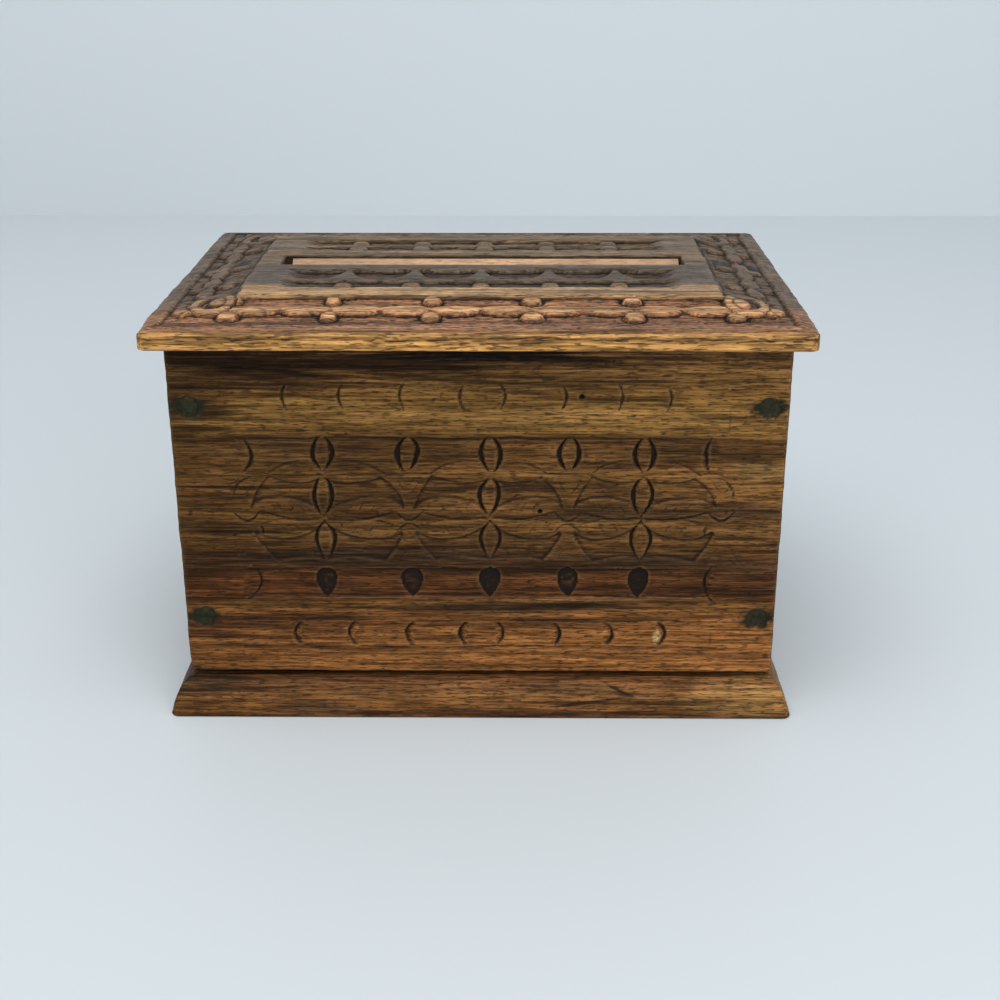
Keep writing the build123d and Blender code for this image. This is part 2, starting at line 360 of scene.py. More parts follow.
def carved_masks(depth, ring):
    """Masks over a grid of depths in mm, with zeros for the rest of each ring. Hollow is the share of 1.2 mm,
    crease and edge are how far the depth lies under and over its mean nearby."""
    # Crease and hollow darken the colour as grime and painted shade, and edge lightens it as wear and a
    # painted highlight
    near = blurred(depth, 2)
    fine, wide = depth - near, near - blurred(depth, 7)
    crease = np.clip(fine / 0.12, 0, 1) * 0.85 + np.clip(wide / 0.25, 0, 1) * 0.15
    masks = {
        "hollow": np.clip(depth / 1.2, 0, 1),
        "crease": np.clip(crease, 0, 1),
        "edge": np.clip(-fine / 0.14, 0, 1),
    }
    blank = np.zeros((len(depth), ring - depth.shape[1]))
    return {mask: np.concatenate([values, blank], 1) for mask, values in masks.items()}


def make_piece(name, points, faces, masks, sharp_degrees=42):
    """A mesh object from points in mm and lists of faces, with its masks as attributes. The faces are turned
    round if the volume that they hold, a sum of tetrahedra from the origin, comes out below zero."""
    corners = [np.asarray(group) for group in faces]
    volume = 0.0
    for group in corners:
        a = points[group[:, 0]]
        for k in range(1, group.shape[1] - 1):
            b, c = points[group[:, k]], points[group[:, k + 1]]
            volume += np.einsum("ij,ij->i", a, np.cross(b, c)).sum()
    if volume < 0:
        corners = [group[:, ::-1] for group in corners]
    mesh = bpy.data.meshes.new(name)
    sizes = np.concatenate([np.full(len(group), group.shape[1]) for group in corners])
    loops = np.concatenate([group.ravel() for group in corners])
    mesh.vertices.add(len(points))
    mesh.vertices.foreach_set("co", (points * MM).astype(np.float32).ravel())
    mesh.loops.add(len(loops))
    mesh.loops.foreach_set("vertex_index", loops.astype(np.int32))
    mesh.polygons.add(len(sizes))
    mesh.polygons.foreach_set("loop_start", (np.cumsum(sizes) - sizes).astype(np.int32))
    mesh.update(calc_edges=True)
    mesh.validate()
    for mask, values in masks.items():
        full = np.zeros(len(points), np.float32)
        full[: values.size] = values.ravel()
        mesh.attributes.new(mask, "FLOAT", "POINT").data.foreach_set("value", full)
    mesh.shade_smooth()
    mesh.set_sharp_from_angle(angle=math.radians(sharp_degrees))
    piece = bpy.data.objects.new(name, mesh)
    bpy.context.scene.collection.objects.link(piece)
    return piece


def tube_faces(stations, ring):
    """Quads between neighbouring rings of points, and one face each over the first and the last ring."""
    i, j = np.meshgrid(np.arange(stations - 1), np.arange(ring), indexing="ij")
    k = (j + 1) % ring
    quads = np.stack([i * ring + j, (i + 1) * ring + j, (i + 1) * ring + k, i * ring + k], -1).reshape(-1, 4)
    first = np.arange(ring)[None, :]
    last = np.arange(stations * ring - 1, (stations - 1) * ring - 1, -1)[None, :]
    return quads, first, last


def repeated(places, count):
    """A grid that holds the places, one to a row, in each of its columns."""
    return np.repeat(places[:, None], count, 1)


def swept(name, ring_x, ring_y, ring_z, masks, faces=None):
    """A piece whose section, one ring of points to a row, is carried from row to row."""
    points = np.stack([ring_x, ring_y, ring_z], -1).reshape(-1, 3)
    return make_piece(name, points, faces or tube_faces(*ring_x.shape), masks)


# Shapes of the carving, as functions of a place (u, v) on the face


def arch(share):
    """Rises from 0 at both ends to 1 in the middle: 4 t (1 - t)."""
    share = np.clip(share, 0, 1)
    return 4 * share * (1 - share)


def round_petal(u, v, centre, half_u, half_v):
    """Distance inside an ellipse, about right near its edge: one less the scaled radius, times the lesser
    half size."""
    radius = np.hypot((u - centre[0]) / half_u, (v - centre[1]) / half_v)
    return (1 - radius) * np.minimum(half_u, half_v)


def stroke(u, v, start, end, bow, left, right, depth, taper=0.5):
    """Depth of one tool cut. Its line is a parabola bowed to the left of the chord from start to end, its
    depth falls in a straight slope over the widths left and right of the line, and both fade to the ends by
    4 t (1 - t) to the power of the taper."""
    du, dv = end[0] - start[0], end[1] - start[1]
    length = math.hypot(du, dv)
    bulge = arch(((u - start[0]) * du + (v - start[1]) * dv) / length**2)
    aside = ((v - start[1]) * du - (u - start[0]) * dv) / length - bow * bulge
    fade = bulge**taper
    width = np.where(aside > 0, left, right) * fade
    return depth * fade * np.clip(1 - np.abs(aside) / np.maximum(width, 1e-6), 0, 1)


def cut_with(u, v, depth, strokes):
    """The depth with tool cuts added, each given as the arguments of a stroke: the deepest counts."""
    return np.maximum.reduce([depth, *(stroke(u, v, *cut) for cut in strokes)])


def sunk_ground(raised, edge, ground, wall, fade, lift=0.25):
    """Depth round raised shapes: their faces swell from the edge's depth, and outside them the ground drops
    within the wall's width and comes up again by the lift with distance."""
    away = np.maximum(-raised, 0)
    face = edge * np.exp(-np.maximum(raised, 0) / 0.6)
    drop_off = np.clip(away / wall, 0, 1) * (1 - lift + lift * np.exp(-away / fade))
    return np.where(raised > 0, face, edge + (ground - edge) * drop_off)


# Heights on the carved faces, in mm above the table: the frieze, its rows of upright leaves, its rows of
# cells, its middle line, and the rows of single marks with the scribed lines by the lower one
FRIEZE_LOW, FRIEZE_HIGH = 30.3, 71.2
CELLS_LOW, CELLS_HIGH = 38.0, 62.6
HIGH_LEAVES = (62.6, 71.4)
UPPER_LEAVES = (51.5, 61.4)
LOWER_LEAVES = (39.7, 49.6)
DROPS = (30.2, 38.1)
MIDDLE = 50.85
TOP_MARKS = (77.6, 83.9)
LOW_MARKS = (17.4, 23.7)
MARK_LINES = ((24.2, 0.26), (17.0, 0.2))

# A carved wall's layout, in mm from its middle: where its medallions have their centres and where they meet,
# the frieze's ends, and the places of the single marks over and under it
Layout = namedtuple("Layout", "centres waists ends top_marks low_marks")
LONG_LAYOUT = Layout(
    centres=(-36.4, 2.5, 38.1),
    waists=(-54.6, -16.4, 20.9, 56.6),
    ends=(-57.6, 56.9),
    top_marks=(-43.9, -30.9, -16.9, -3.1, 5.0, 19.1, 31.8, 42.9),
    low_marks=(-43.6, -30.3, -16.6, -3.4, 4.4, 18.2, 30.6, 43.4),
)
SHORT_LAYOUT = Layout(
    centres=(-17.6, 17.6),
    waists=(-35.0, 0.0, 35.0),
    ends=(-36.6, 36.6),
    top_marks=(-29.0, -16.2, -3.2, 3.4, 16.0, 29.2),
    low_marks=(-29.0, -16.2, -3.2, 3.4, 16.0, 29.2),
)

# Stands for far outside every raised shape
FAR_OUTSIDE = -50.0


def between(v, low, high, share):
    """Distance inside a leaf given by its lower and upper edge, for shares 0 to 1 of its length."""
    inside = np.minimum(v - low, high - v)
    beyond = np.minimum(inside, -9.0 * np.maximum(-share, share - 1))
    return np.where((share > 0) & (share < 1), inside, beyond)


def slender_leaf(a, v, length):
    """Leaf over a half medallion: from the fan's corner it swells to 4.5 mm and joins its twin over the
    middle."""
    share = (a - 4.9) / (length - 4.9)
    low = 62.2 - 1.0 * share - 1.5 * arch(share)
    high = 62.4 + 1.8 * share + 1.9 * arch(share)
    return between(v, low, high, share)


def low_leaf(a, v, length):
    """Leaf under a half medallion, the other way up and thinner."""
    share = (a - 4.3) / (length - 4.3)
    high = 39.3 + 0.9 * share + 0.9 * arch(share)
    low = 38.8 - 0.9 * share - 0.8 * arch(share)
    return between(v, low, high, share)


def heart_leaf(a, v, length, up):
    """Fat leaf from the waist to the middle: its outer edge bulges by 3.7 mm and its inner edge by 1.75. up
    is 1 for the leaf above the middle line and -1 for the one below."""
    share = (a - 1.5) / (length - 1.5)
    spine = MIDDLE + up * 2.3 * (1 - share)
    outer = spine + up * 3.7 * arch(share) ** 0.6
    inner = spine - up * 1.75 * arch(share) ** 0.7
    low, high = (inner, outer) if up > 0 else (outer, inner)
    return between(v, low, high, share)


def fan(a, v, up):
    """Fan over or under a waist. The upper fan's left side grows from 1.1 mm at the neck by 5.8 with the
    height squared, and its right side by 4.2 to the power of 1.6. The lower fan grows by 5.9 to the power of
    1.35 on both sides."""
    neck, rim = (53.4, 61.9) if up > 0 else (47.1, 38.6)
    share = np.clip((v - neck) / (rim - neck), 0, 1.2)
    upper = np.where(a < 0, 5.8 * share**2, 4.2 * share**1.6)
    half = 1.1 + (upper if up > 0 else 5.9 * share**1.35)
    sideways = (half - np.abs(a)) * 0.8
    return np.minimum(sideways, np.minimum(up * (v - neck + up * 0.4), up * (rim - v)) * 1.4)


def half_medallion(a, v, length):
    """Raised part of one half of a medallion, for the distance a from its waist and the height v."""
    leaves = [slender_leaf(a, v, length), low_leaf(a, v, length)]
    leaves += [heart_leaf(a, v, length, up) for up in (1, -1)]
    leaves.append(1.9 - 0.11 * a - np.abs(v - MIDDLE))
    return np.where((a > -0.01) & (a < length + 0.6), np.maximum.reduce(leaves), FAR_OUTSIDE)


def leaf_cuts(length):
    """Strokes of a narrow tool on half a medallion: round the heart leaves, along the outline over and under
    them, and short slanted veins."""
    strokes = [
        ((2.6, MIDDLE + 1.9), (length, MIDDLE), -1.1, 0.5, 0.4, 0.55, 0.3),
        ((2.4, MIDDLE - 1.9), (length, MIDDLE), 1.0, 0.35, 0.35, 0.3, 0.3),
        ((4.7, 61.6), (length + 0.5, 64.6), 1.9, 0.9, 0.3, 0.38, 0.2),
        ((2.0, 37.6), (length + 0.5, 37.4), -0.7, 0.3, 0.8, 0.34, 0.2),
    ]
    for share, reach in ((0.3, 2.6), (0.47, 2.9), (0.63, 2.2)):
        at = 1.5 + share * (length - 1.5)
        foot = MIDDLE + 2.2 * (1 - share) + 0.2
        strokes.append(((at, foot + reach), (at + 1.7, foot), 0.35, 0.2, 0.2, 0.2))
    for share, reach in ((0.36, 2.5), (0.55, 2.2)):
        at = 1.5 + share * (length - 1.5)
        foot = MIDDLE - 2.2 * (1 - share) - 0.4
        strokes.append(((at, foot), (at + 1.8, foot - reach), 0.3, 0.2, 0.2, 0.18))
    return strokes


# Strokes at a waist, in mm from it: the cup and the cap between two fans, the veins of the fans and the long
# arc of the lower one
CUP = ((-3.1, 52.5), (3.1, 52.6), -2.2, 0.35, 0.5, 0.62, 0.2)
CAP = ((-3.1, 47.3), (3.1, 47.4), 2.0, 0.45, 0.35, 0.5, 0.15)
FAN_CUTS = (
    ((-0.1, 57.4), (-2.4, 60.8), 0.4, 0.22, 0.22, 0.2),
    ((0.0, 57.2), (2.6, 60.9), -0.5, 0.22, 0.22, 0.2),
    ((0.1, 43.4), (-2.5, 40.3), -0.4, 0.22, 0.22, 0.16),
    ((2.7, 43.8), (6.8, 38.6), -0.5, 0.25, 0.25, 0.26),
)


def waist_cuts(inward):
    """Strokes at a waist. inward is 0 inside the frieze, and at its ends 1 or -1, the way to its middle.
    There a short hook takes the cap's place, and an arc closes the fan."""
    if not inward:
        return [CUP, CAP, *FAN_CUTS]
    hook = ((inward * 3.1, 48.9), (inward * 3.3, 46.3), inward * 0.3, 0.35, 0.35, 0.5, 0.15)
    closing = ((-inward * 2.9, 55.6), (inward * 2.0, 61.2), inward * 1.5, 0.35, 0.35, 0.4, 0.25)
    return [CUP, hook, closing, *FAN_CUTS]


def sunk_bands(u, v, ends, ground):
    """Depth of the frieze's sunk bands: a step at the top and at the bottom line, and from each a slope back
    to the surface."""
    inside_ends = smooth((u - ends[0]) / 3.0) * smooth((ends[1] - u) / 3.0)
    below_top, above_low = FRIEZE_HIGH - v, v - FRIEZE_LOW
    top = 0.75 * ground * np.clip(below_top / 0.3, 0, 1) * np.clip(1 - below_top / 8.5, 0, 1) ** 0.8
    low = 0.95 * ground * np.clip(above_low / 0.3, 0, 1) * np.clip(1.25 - above_low / 9.5, 0, 1)
    top = np.where(v > CELLS_HIGH - 0.8, top, 0)
    low = np.where(v < CELLS_LOW, low, 0)
    return inside_ends * np.maximum(top, low)


def frieze(u, v, layout, carving):
    """Depth of the leafy frieze in mm: cells of deep ground round raised fans and leaves, upright leaves
    between gouge cuts, drops, and sunk bands along the top and the bottom."""
    centres, waists, (left, right) = layout.centres, layout.waists, layout.ends
    ground = carving.ground_depth / MM
    deep = carving.crescent_depth / MM
    raised = np.full(u.shape, FAR_OUTSIDE)
    cuts = np.zeros(u.shape)
    for number, centre in enumerate(centres):
        for waist, side in ((waists[number], 1), (waists[number + 1], -1)):
            a, length = side * (u - waist), abs(centre - waist)
            raised = np.maximum(raised, half_medallion(a, v, length))
            cuts = cut_with(a, v, cuts, leaf_cuts(length))
    for number, waist in enumerate(waists):
        a = u - waist
        knot = round_petal(a, v, (0, 50.3), 3.0, 3.4)
        raised = np.maximum.reduce([raised, fan(a, v, 1), fan(a, v, -1), knot])
        cuts = cut_with(a, v, cuts, waist_cuts((number == 0) - (number == len(centres))))
    in_cells = smooth((v - CELLS_LOW) / 0.8) * smooth((CELLS_HIGH - v) / 0.8)
    in_cells = in_cells * smooth((u - waists[0]) / 0.5) * smooth((waists[-1] - u) / 0.5)
    cells = sunk_ground(raised, 0.12, ground, 0.34, 2.0) * in_cells
    depth = np.maximum.reduce([cells, cuts, sunk_bands(u, v, layout.ends, ground)])
    for number, column in enumerate(sorted((*centres, *waists[1:-1]))):
        lean = 0.25 * (-1) ** number
        depth = upright_leaf(u, v, depth, (column + lean, column), HIGH_LEAVES, 1.55, deep)
        depth = drop(u, v, depth, (column - lean, column), DROPS, 2.65, deep)
    for centre in centres:
        depth = upright_leaf(u, v, depth, (centre - 0.2, centre + 0.1), UPPER_LEAVES, 1.6, deep)
        depth = upright_leaf(u, v, depth, (centre, centre + 0.1), LOWER_LEAVES, 1.7, 0.9 * deep, 1.4)
    end_cuts = (
        ((left + 2.5, 71.3), (left + 2.6, 62.2), 2.1),
        ((left + 3.8, 38.2), (left + 1.6, 29.8), 2.2),
        ((right - 3.5, 62.3), (right - 3.0, 71.4), 0.9),
        ((right - 0.6, 29.6), (right - 1.6, 38.4), 2.0),
    )
    return cut_with(u, v, depth, [(*cut, 1.5, 0.35, 0.9 * deep, 0.35) for cut in end_cuts])


def eye(u, v, middles, heights, half, fullness, belly=1.0):
    """Distance inside an upright eye. Its middle goes from the first to the second of the middles between
    the two heights. Its half width is half times (4 s (1 - s)) to the fullness, where s is the share of the
    way up to the power of the belly, which lifts the widest place above the middle."""
    tall = heights[1] - heights[0]
    share = (v - heights[0]) / tall
    middle = middles[0] + (middles[1] - middles[0]) * share
    width = half * arch(np.clip(share, 0, 1) ** belly) ** fullness
    beyond = np.maximum(share - 1, -share) * tall
    return np.where(beyond > 0, -np.hypot(beyond, u - middle), width - np.abs(u - middle))


def upright_leaf(u, v, depth, middles, heights, half, deep, belly=1.0):
    """The depth with one upright leaf cut in: its face comes back near the surface between two gouge cuts,
    which have an upright wall at the leaf and run out at the edge of a wider leaf with the same tips."""
    face = eye(u, v, middles, heights, half, 0.8, belly)
    within = eye(u, v, middles, heights, 3.0, 0.75, belly)
    kept = np.where(face > 0, np.minimum(depth, 0.04 + 0.16 * np.exp(-face / 0.3)), depth)
    cut = deep * np.clip(-face / 0.3, 0, 1) * np.clip(within / 0.5, 0, 1) ** 0.7
    return np.maximum(kept, cut)


def drop(u, v, depth, middles, heights, half, deep):
    """The depth with one sunk drop cut in: round above and pointed below, with a rough face that swells a
    little towards the middle."""
    inside = eye(u, v, middles, heights, half, 0.5, 1.45)
    swell = 0.04 * smooth((inside - 0.45) / 1.1)
    hollow = deep * (0.93 - swell) + 0.06 * patch_noise(u, v, 0.8, 0.6, 5)
    return np.where(inside > 0, np.maximum(depth, hollow * np.clip(inside / 0.32, 0, 1)), depth)


def mark_rows(u, v, layout, depth):
    """Single gouge marks above and below the frieze, which bow outwards on both sides of the middle, and two
    scribed lines by the lower ones, in mm."""
    strokes = []
    for place in layout.top_marks:
        bow = 1.05 if place < 0 else -1.05
        strokes.append(((place, TOP_MARKS[0]), (place, TOP_MARKS[1]), bow, 0.5, 0.5, 0.75 * depth, 0.3))
    for place in layout.low_marks:
        bow, left, right = (1.5, 0.4, 2.3) if place < 0 else (-1.5, 2.3, 0.4)
        strokes.append(((place, LOW_MARKS[0]), (place, LOW_MARKS[1]), bow, left, right, depth, 0.3))
    cuts = cut_with(u, v, np.zeros(u.shape), strokes)
    within = np.abs(u) < abs(layout.low_marks[0]) + 14
    for line, shallow in MARK_LINES:
        near = np.abs(v - line - 0.25 * line_noise(u, 9, 77))
        cuts = np.maximum(cuts, shallow * within * np.clip(1 - near / 0.4, 0, 1))
    return cuts


# Marks of age, in mm: scribed lines and a scratch on the front wall, the wormholes in it with their radii,
# and the knocks on the long walls with their reaches and depths
SCRATCHES = (
    ((-59.6, 92.0), (-58.4, 72.0)),
    ((57.8, 92.0), (57.4, 72.0)),
    ((55.9, 29.0), (55.6, 12.5)),
    ((31.6, 53.6), (37.2, 50.6)),
)
WORMHOLES = ((23.6, 80.8, 0.75), (14.3, 52.7, 0.65))
LONG_KNOCKS = ((-72.0, 9.6, 4.6, 0.6), (71.0, 92.6, 1.6, 0.6))


def old_marks(u, v):
    """Depth of the thin scratches and the round mouths of the wormholes."""
    lines = [stroke(u, v, start, end, 0.15, 0.4, 0.4, 0.13, 0.1) for start, end in SCRATCHES]
    holes = [1.1 * smooth((reach - np.hypot(u - x, v - z)) / 0.35) for x, z, reach in WORMHOLES]
    return np.maximum.reduce(lines + holes)


def wall_carving(u, v, layout, carving, seed):
    """Depth in mm of the carving on a wall: the frieze and the rows of marks, strayed from true."""
    u, v = strayed(u, v, carving.hand_wobble / MM, seed)
    marks = mark_rows(u, v, layout, 0.75 * carving.crescent_depth / MM)
    return np.maximum(frieze(u, v, layout, carving), marks)


def peg_seats(u, v, seed):
    """Depth of the ragged round seats of the four pegs."""
    depth = np.zeros(u.shape)
    ragged = 0.3 * patch_noise(u, v, 1.4, 1.4, seed + 8)
    for peg_x, peg_z in PEG_PLACES:
        away = np.hypot(u - peg_x, v - peg_z) + ragged
        depth = np.maximum(depth, PEG_SEAT_DEPTH * np.clip((PEG_SEAT - away) / 0.5, 0, 1))
    return depth


def face_marks(u, v, seed):
    """Slow hollows and fine fibre of a hand-planed face, in mm."""
    slow = 0.05 * (1 + patch_noise(u, v, 26, 9, seed + 5))
    fibre = 0.014 * (1 + patch_noise(u, v, 3.2, 0.45, seed + 6))
    pits = 0.16 * np.clip(patch_noise(u, v, 1.7, 0.6, seed + 7) - 0.72, 0, 1) / 0.28
    return slow + fibre + pits


def worn_edges(distance, u, radius, seed):
    """Extra depth near an edge: a quarter circle whose radius swells and shrinks along it."""
    radius = radius * (1 + 0.45 * line_noise(u, 6, seed) + 0.3 * line_noise(u, 1.6, seed + 1))
    inside = np.clip(distance / radius, 0, 1)
    return radius * (1 - np.sqrt(np.clip(1 - (1 - inside) ** 2, 0, 1)))


def with_steps(lines, places):
    """The grid lines with a close pair of lines round each place, so that a step there stands upright."""
    places = np.asarray(places)
    return np.unique(np.concatenate([lines, places - STEP_SLOPE, places + STEP_SLOPE]))


def wall_section(face_y, v, x, side):
    """Rings of a wall's section, as y and z. They go up the carved face, over the top, where the back wall
    steps down at the hinge mortises, down the inner face and back along the foot."""
    mortised = (side > 0) & (np.abs(np.abs(x) - HINGE_X) < HINGE_HALF)
    step_y = LEAF_EDGE if side > 0 else WALL_INNER + 1
    floor = TOP - LEAF_THICKNESS
    face_z = np.where(mortised[:, None], np.minimum(v, floor - (TOP - v) * 0.05), v)
    tail_y = (step_y, step_y - STEP_SLOPE, WALL_INNER, WALL_INNER, WALL_INNER + INNER_BEVEL)
    tail_z = np.tile([TOP, TOP, TOP - INNER_BEVEL, FOOT + INNER_BEVEL, FOOT], (len(x), 1))
    tail_z[:, 0] = np.where(mortised, floor, TOP)
    ring_y = np.concatenate([face_y, np.tile(tail_y, (len(x), 1))], 1)
    return ring_y, np.concatenate([face_z, tail_z], 1)


def upright_lines():
    """Heights of the rows of points on a carved wall, closest where the carving is."""
    return grid_lines(
        (FOOT, FOOT + 0.9, 0.3),
        (FOOT + 0.9, 17, 0.6),
        (17, 24.3, 0.36),
        (24.3, 29.2, 0.6),
        (29.2, 72, 0.32),
        (72, 77, 0.6),
        (77, 84.5, 0.36),
        (84.5, TOP - 0.9, 0.7),
        (TOP - 0.9, TOP, 0.3),
    )


def long_wall(name, side, carving, seed):
    """A long wall: its upright section is carried along x, and the carved face is a height field."""
    x = grid_lines(
        (-HALF_CASE, -HALF_CASE + 1, 0.25),
        (-HALF_CASE + 1, -58, 0.45),
        (-58, 57.5, 0.33),
        (57.5, HALF_CASE - 1, 0.45),
        (HALF_CASE - 1, HALF_CASE, 0.25),
    )
    if side > 0:
        x = with_steps(x, HINGE_ENDS)
    u, v = np.meshgrid(x, upright_lines(), indexing="ij")
    across = side * -u
    depth = np.maximum(wall_carving(across, v, LONG_LAYOUT, carving, seed), peg_seats(across, v, seed))
    depth = depth + face_marks(across, v, seed)
    depth = depth + worn_edges(np.minimum(v - FOOT, TOP - v), u, 0.45, seed + 20)
    depth = depth + worn_edges(HALF_CASE - np.abs(u), v, 0.8, seed + 22) + knocks(across, v, LONG_KNOCKS)
    if side < 0:
        depth = np.maximum(depth, old_marks(u, v))
    ring_y, ring_z = wall_section(HALF_DEPTH - depth, v, x, side)
    ring_x = repeated(x, ring_y.shape[1])
    masks = carved_masks(depth, ring_y.shape[1])
    masks["stain"] = stains(ring_x, ring_z, seed) * (ring_y > WALL_INNER + 1)
    return swept(name, ring_x, side * ring_y, ring_z, masks)


def end_wall(name, side, carving, seed):
    """An end wall between the long walls: its upright section is carried along y."""
    y = grid_lines((-HALF_INNER, HALF_INNER, 0.4))
    u, v = np.meshgrid(y, upright_lines(), indexing="ij")
    depth = wall_carving(side * u, v, SHORT_LAYOUT, carving, seed) + face_marks(u, v, seed)
    depth = depth + worn_edges(np.minimum(v - FOOT, TOP - v), u, 0.4, seed + 20)
    ring_x = np.concatenate([HALF_CASE - depth, np.full((len(y), 2), END_LOW[0])], 1)
    ring_z = np.concatenate([v, np.tile([TOP, FOOT], (len(y), 1))], 1)
    ring_y = repeated(y, ring_x.shape[1])
    return swept(name, side * ring_x, ring_y, ring_z, carved_masks(depth, ring_x.shape[1]))


def knocks(u, v, places):
    """Depth of chipped places: round dents with a ragged rim, given as (u, v, reach, depth)."""
    depth = np.zeros(u.shape)
    for place_u, place_v, reach, deep in places:
        ragged = 0.35 * patch_noise(u, v, 1.1, 0.8, int(reach * 10))
        away = np.hypot(u - place_u, v - place_v) / reach + ragged
        depth = np.maximum(depth, deep * smooth(1.15 - away))
    return depth


def stains(u, v, seed):
    """Mask of the dark stain over each peg: an ellipse wider than high whose rim is ragged and soft."""
    mask = np.zeros(u.shape)
    ragged = 0.35 * patch_noise(u, v, 1.3, 0.6, seed + 9) + 0.2 * patch_noise(u, v, 0.6, 0.3, seed + 10)
    for peg_x, peg_z in PEG_PLACES:
        radius = np.hypot((u - peg_x) / STAIN_HALF[0], (v - peg_z) / STAIN_HALF[1]) + ragged
        mask = np.maximum(mask, smooth((1.45 - radius) / 0.7))
    return mask


def pegs(name, side, seed):
    """Four pegs through a long wall: a straight side, a rounded rim and a rough head, all turned about y."""
    angle = np.linspace(0, 2 * np.pi, PEG_SIDES, endpoint=False)
    radius = np.array([2.2, PEG_RADIUS, PEG_RADIUS, 2.42, 2.1, 1.6, 1.1, 0.55])
    along = PEG_FACE + np.array([0, 0, -0.35, -0.1, 0, 0.03, 0, -0.02])
    along[:2] = PEG_INNER, PEG_INNER + 0.3
    turn, reach = np.meshgrid(angle, radius, indexing="xy")
    depth = repeated(along, PEG_SIDES)
    points, faces, stain = [], [], []
    for number, (peg_x, peg_z) in enumerate(PEG_PLACES):
        x = peg_x + reach * np.cos(turn)
        z = peg_z + reach * np.sin(turn)
        rough = 0.11 * patch_noise(x, z, 0.8, 0.6, seed + number) * (depth > PEG_FACE - 0.2)
        points.append(np.stack([x, side * (depth + rough), z], -1).reshape(-1, 3))
        stain.append(stains(x, z, seed))
        start = number * depth.size
        faces += [group + start for group in tube_faces(*depth.shape)]
    masks = {"stain": np.concatenate(stain)}
    return make_piece(name, np.concatenate(points), faces, masks, sharp_degrees=50)


# Carving of the lid, in mm: the chains with their first petal, pitch, spine and petals' reach from it, the
# corner rings and the two recesses of the panel. Places across the band are measured in from the lid's edge
LONG_CHAIN = (-10.9, 23.1, 12.3, 4.7)
SIDE_CHAIN = (0.0, 19.5, 10.6, 4.0)
RING_PLACE = (61.8, 35.6)
RING_HALF = (4.9, 7.0)
RECESS_PITCH = 16.6
RECESS_HALF = 48.3
FRONT_RECESS = (-24.6, -5.0)
BACK_RECESS = (15.3, 28.8)


def chain(s, d, first, pitch, spine, petal_reach):
    """Distance inside a chain on a band: a leaf runs from each petal to half way to the next, and each petal
    has a twin across the spine. s goes along the band and d across it."""
    step = (s - first) / pitch
    away = np.abs(step - np.round(step)) * pitch
    share = away / (pitch / 2)
    swell = arch(share) ** 0.75
    leaves = np.minimum(spine + 0.35 + 1.1 * swell - d, d - spine + 0.35 + 1.7 * swell)
    size = 1 + 0.22 * line_noise(np.round(step) * 5.3, 3.1, 19)
    upper = round_petal(away, d, (0, spine + petal_reach), 1.85 * size, 1.8)
    lower = round_petal(away, d, (0, spine - 0.74 * petal_reach), 2.0 * size, 1.75)
    return np.maximum.reduce([leaves, upper, lower])


def from_edges(x, y):
    """Distances in from the lid's end and from its front or back. The one from the front is shortened in
    proportion, so that the band there comes out wider."""
    return LID_HIGH[0] - np.abs(x), (LID_HIGH[1] - np.abs(y)) * np.where(y < 0, FRONT_SCALE, 1.0)


def band_shapes(x, y):
    """Distance inside the raised shapes of the band: the chains along its sides and a ring in each corner."""
    from_side, from_front = from_edges(x, y)
    along, across = chain(x, from_front, *LONG_CHAIN), chain(y, from_side, *SIDE_CHAIN)
    raised = np.where(from_front < from_side, along, across)
    ring_u = (np.abs(x) - RING_PLACE[0]) / RING_HALF[0]
    ring_v = (np.abs(y) - RING_PLACE[1]) / RING_HALF[1]
    ring_radius = np.hypot(ring_u, ring_v)
    loop = (0.2 - np.abs(ring_radius - 0.86)) * 5.5
    heart = round_petal(np.abs(x), np.abs(y), (RING_PLACE[0] - 1.2, RING_PLACE[1]), 1.9, 3.0)
    return np.where(ring_radius < 1.15, np.maximum(loop, heart), raised)


def band_relief(x, y, ground, seed):
    """Depth of the carving on the lid's sloping band: a step at its inner line, and a sunk ground round the
    raised shapes, which opens from the rim in a long slope at the front and in a step elsewhere."""
    from_side, from_front = from_edges(x, y)
    d = np.minimum(from_side, from_front)
    raised = band_shapes(x, y)
    along_front = (from_front < from_side) & (y < 0)
    opening = np.where(along_front, np.clip((d - 1.6) / 5.2, 0, 1) ** 1.1, np.clip((d - 4.2) / 0.5, 0, 1))
    sunk = 0.12 + sunk_ground(raised, 0.12, np.where(along_front, 1.35, 1.0) * ground, 0.5, 1.1, 0.42)
    step = np.clip((LID_BAND - d) / 0.35, 0, 1)
    rough = 0.13 * patch_noise(x, y, 1.6, 0.55, seed + 30) + 0.08 * patch_noise(x, y, 0.7, 0.5, seed + 33)
    return step * (sunk * opening + rough * (0.35 + 0.65 * (raised < 0)) * np.clip(d / 3, 0, 1))


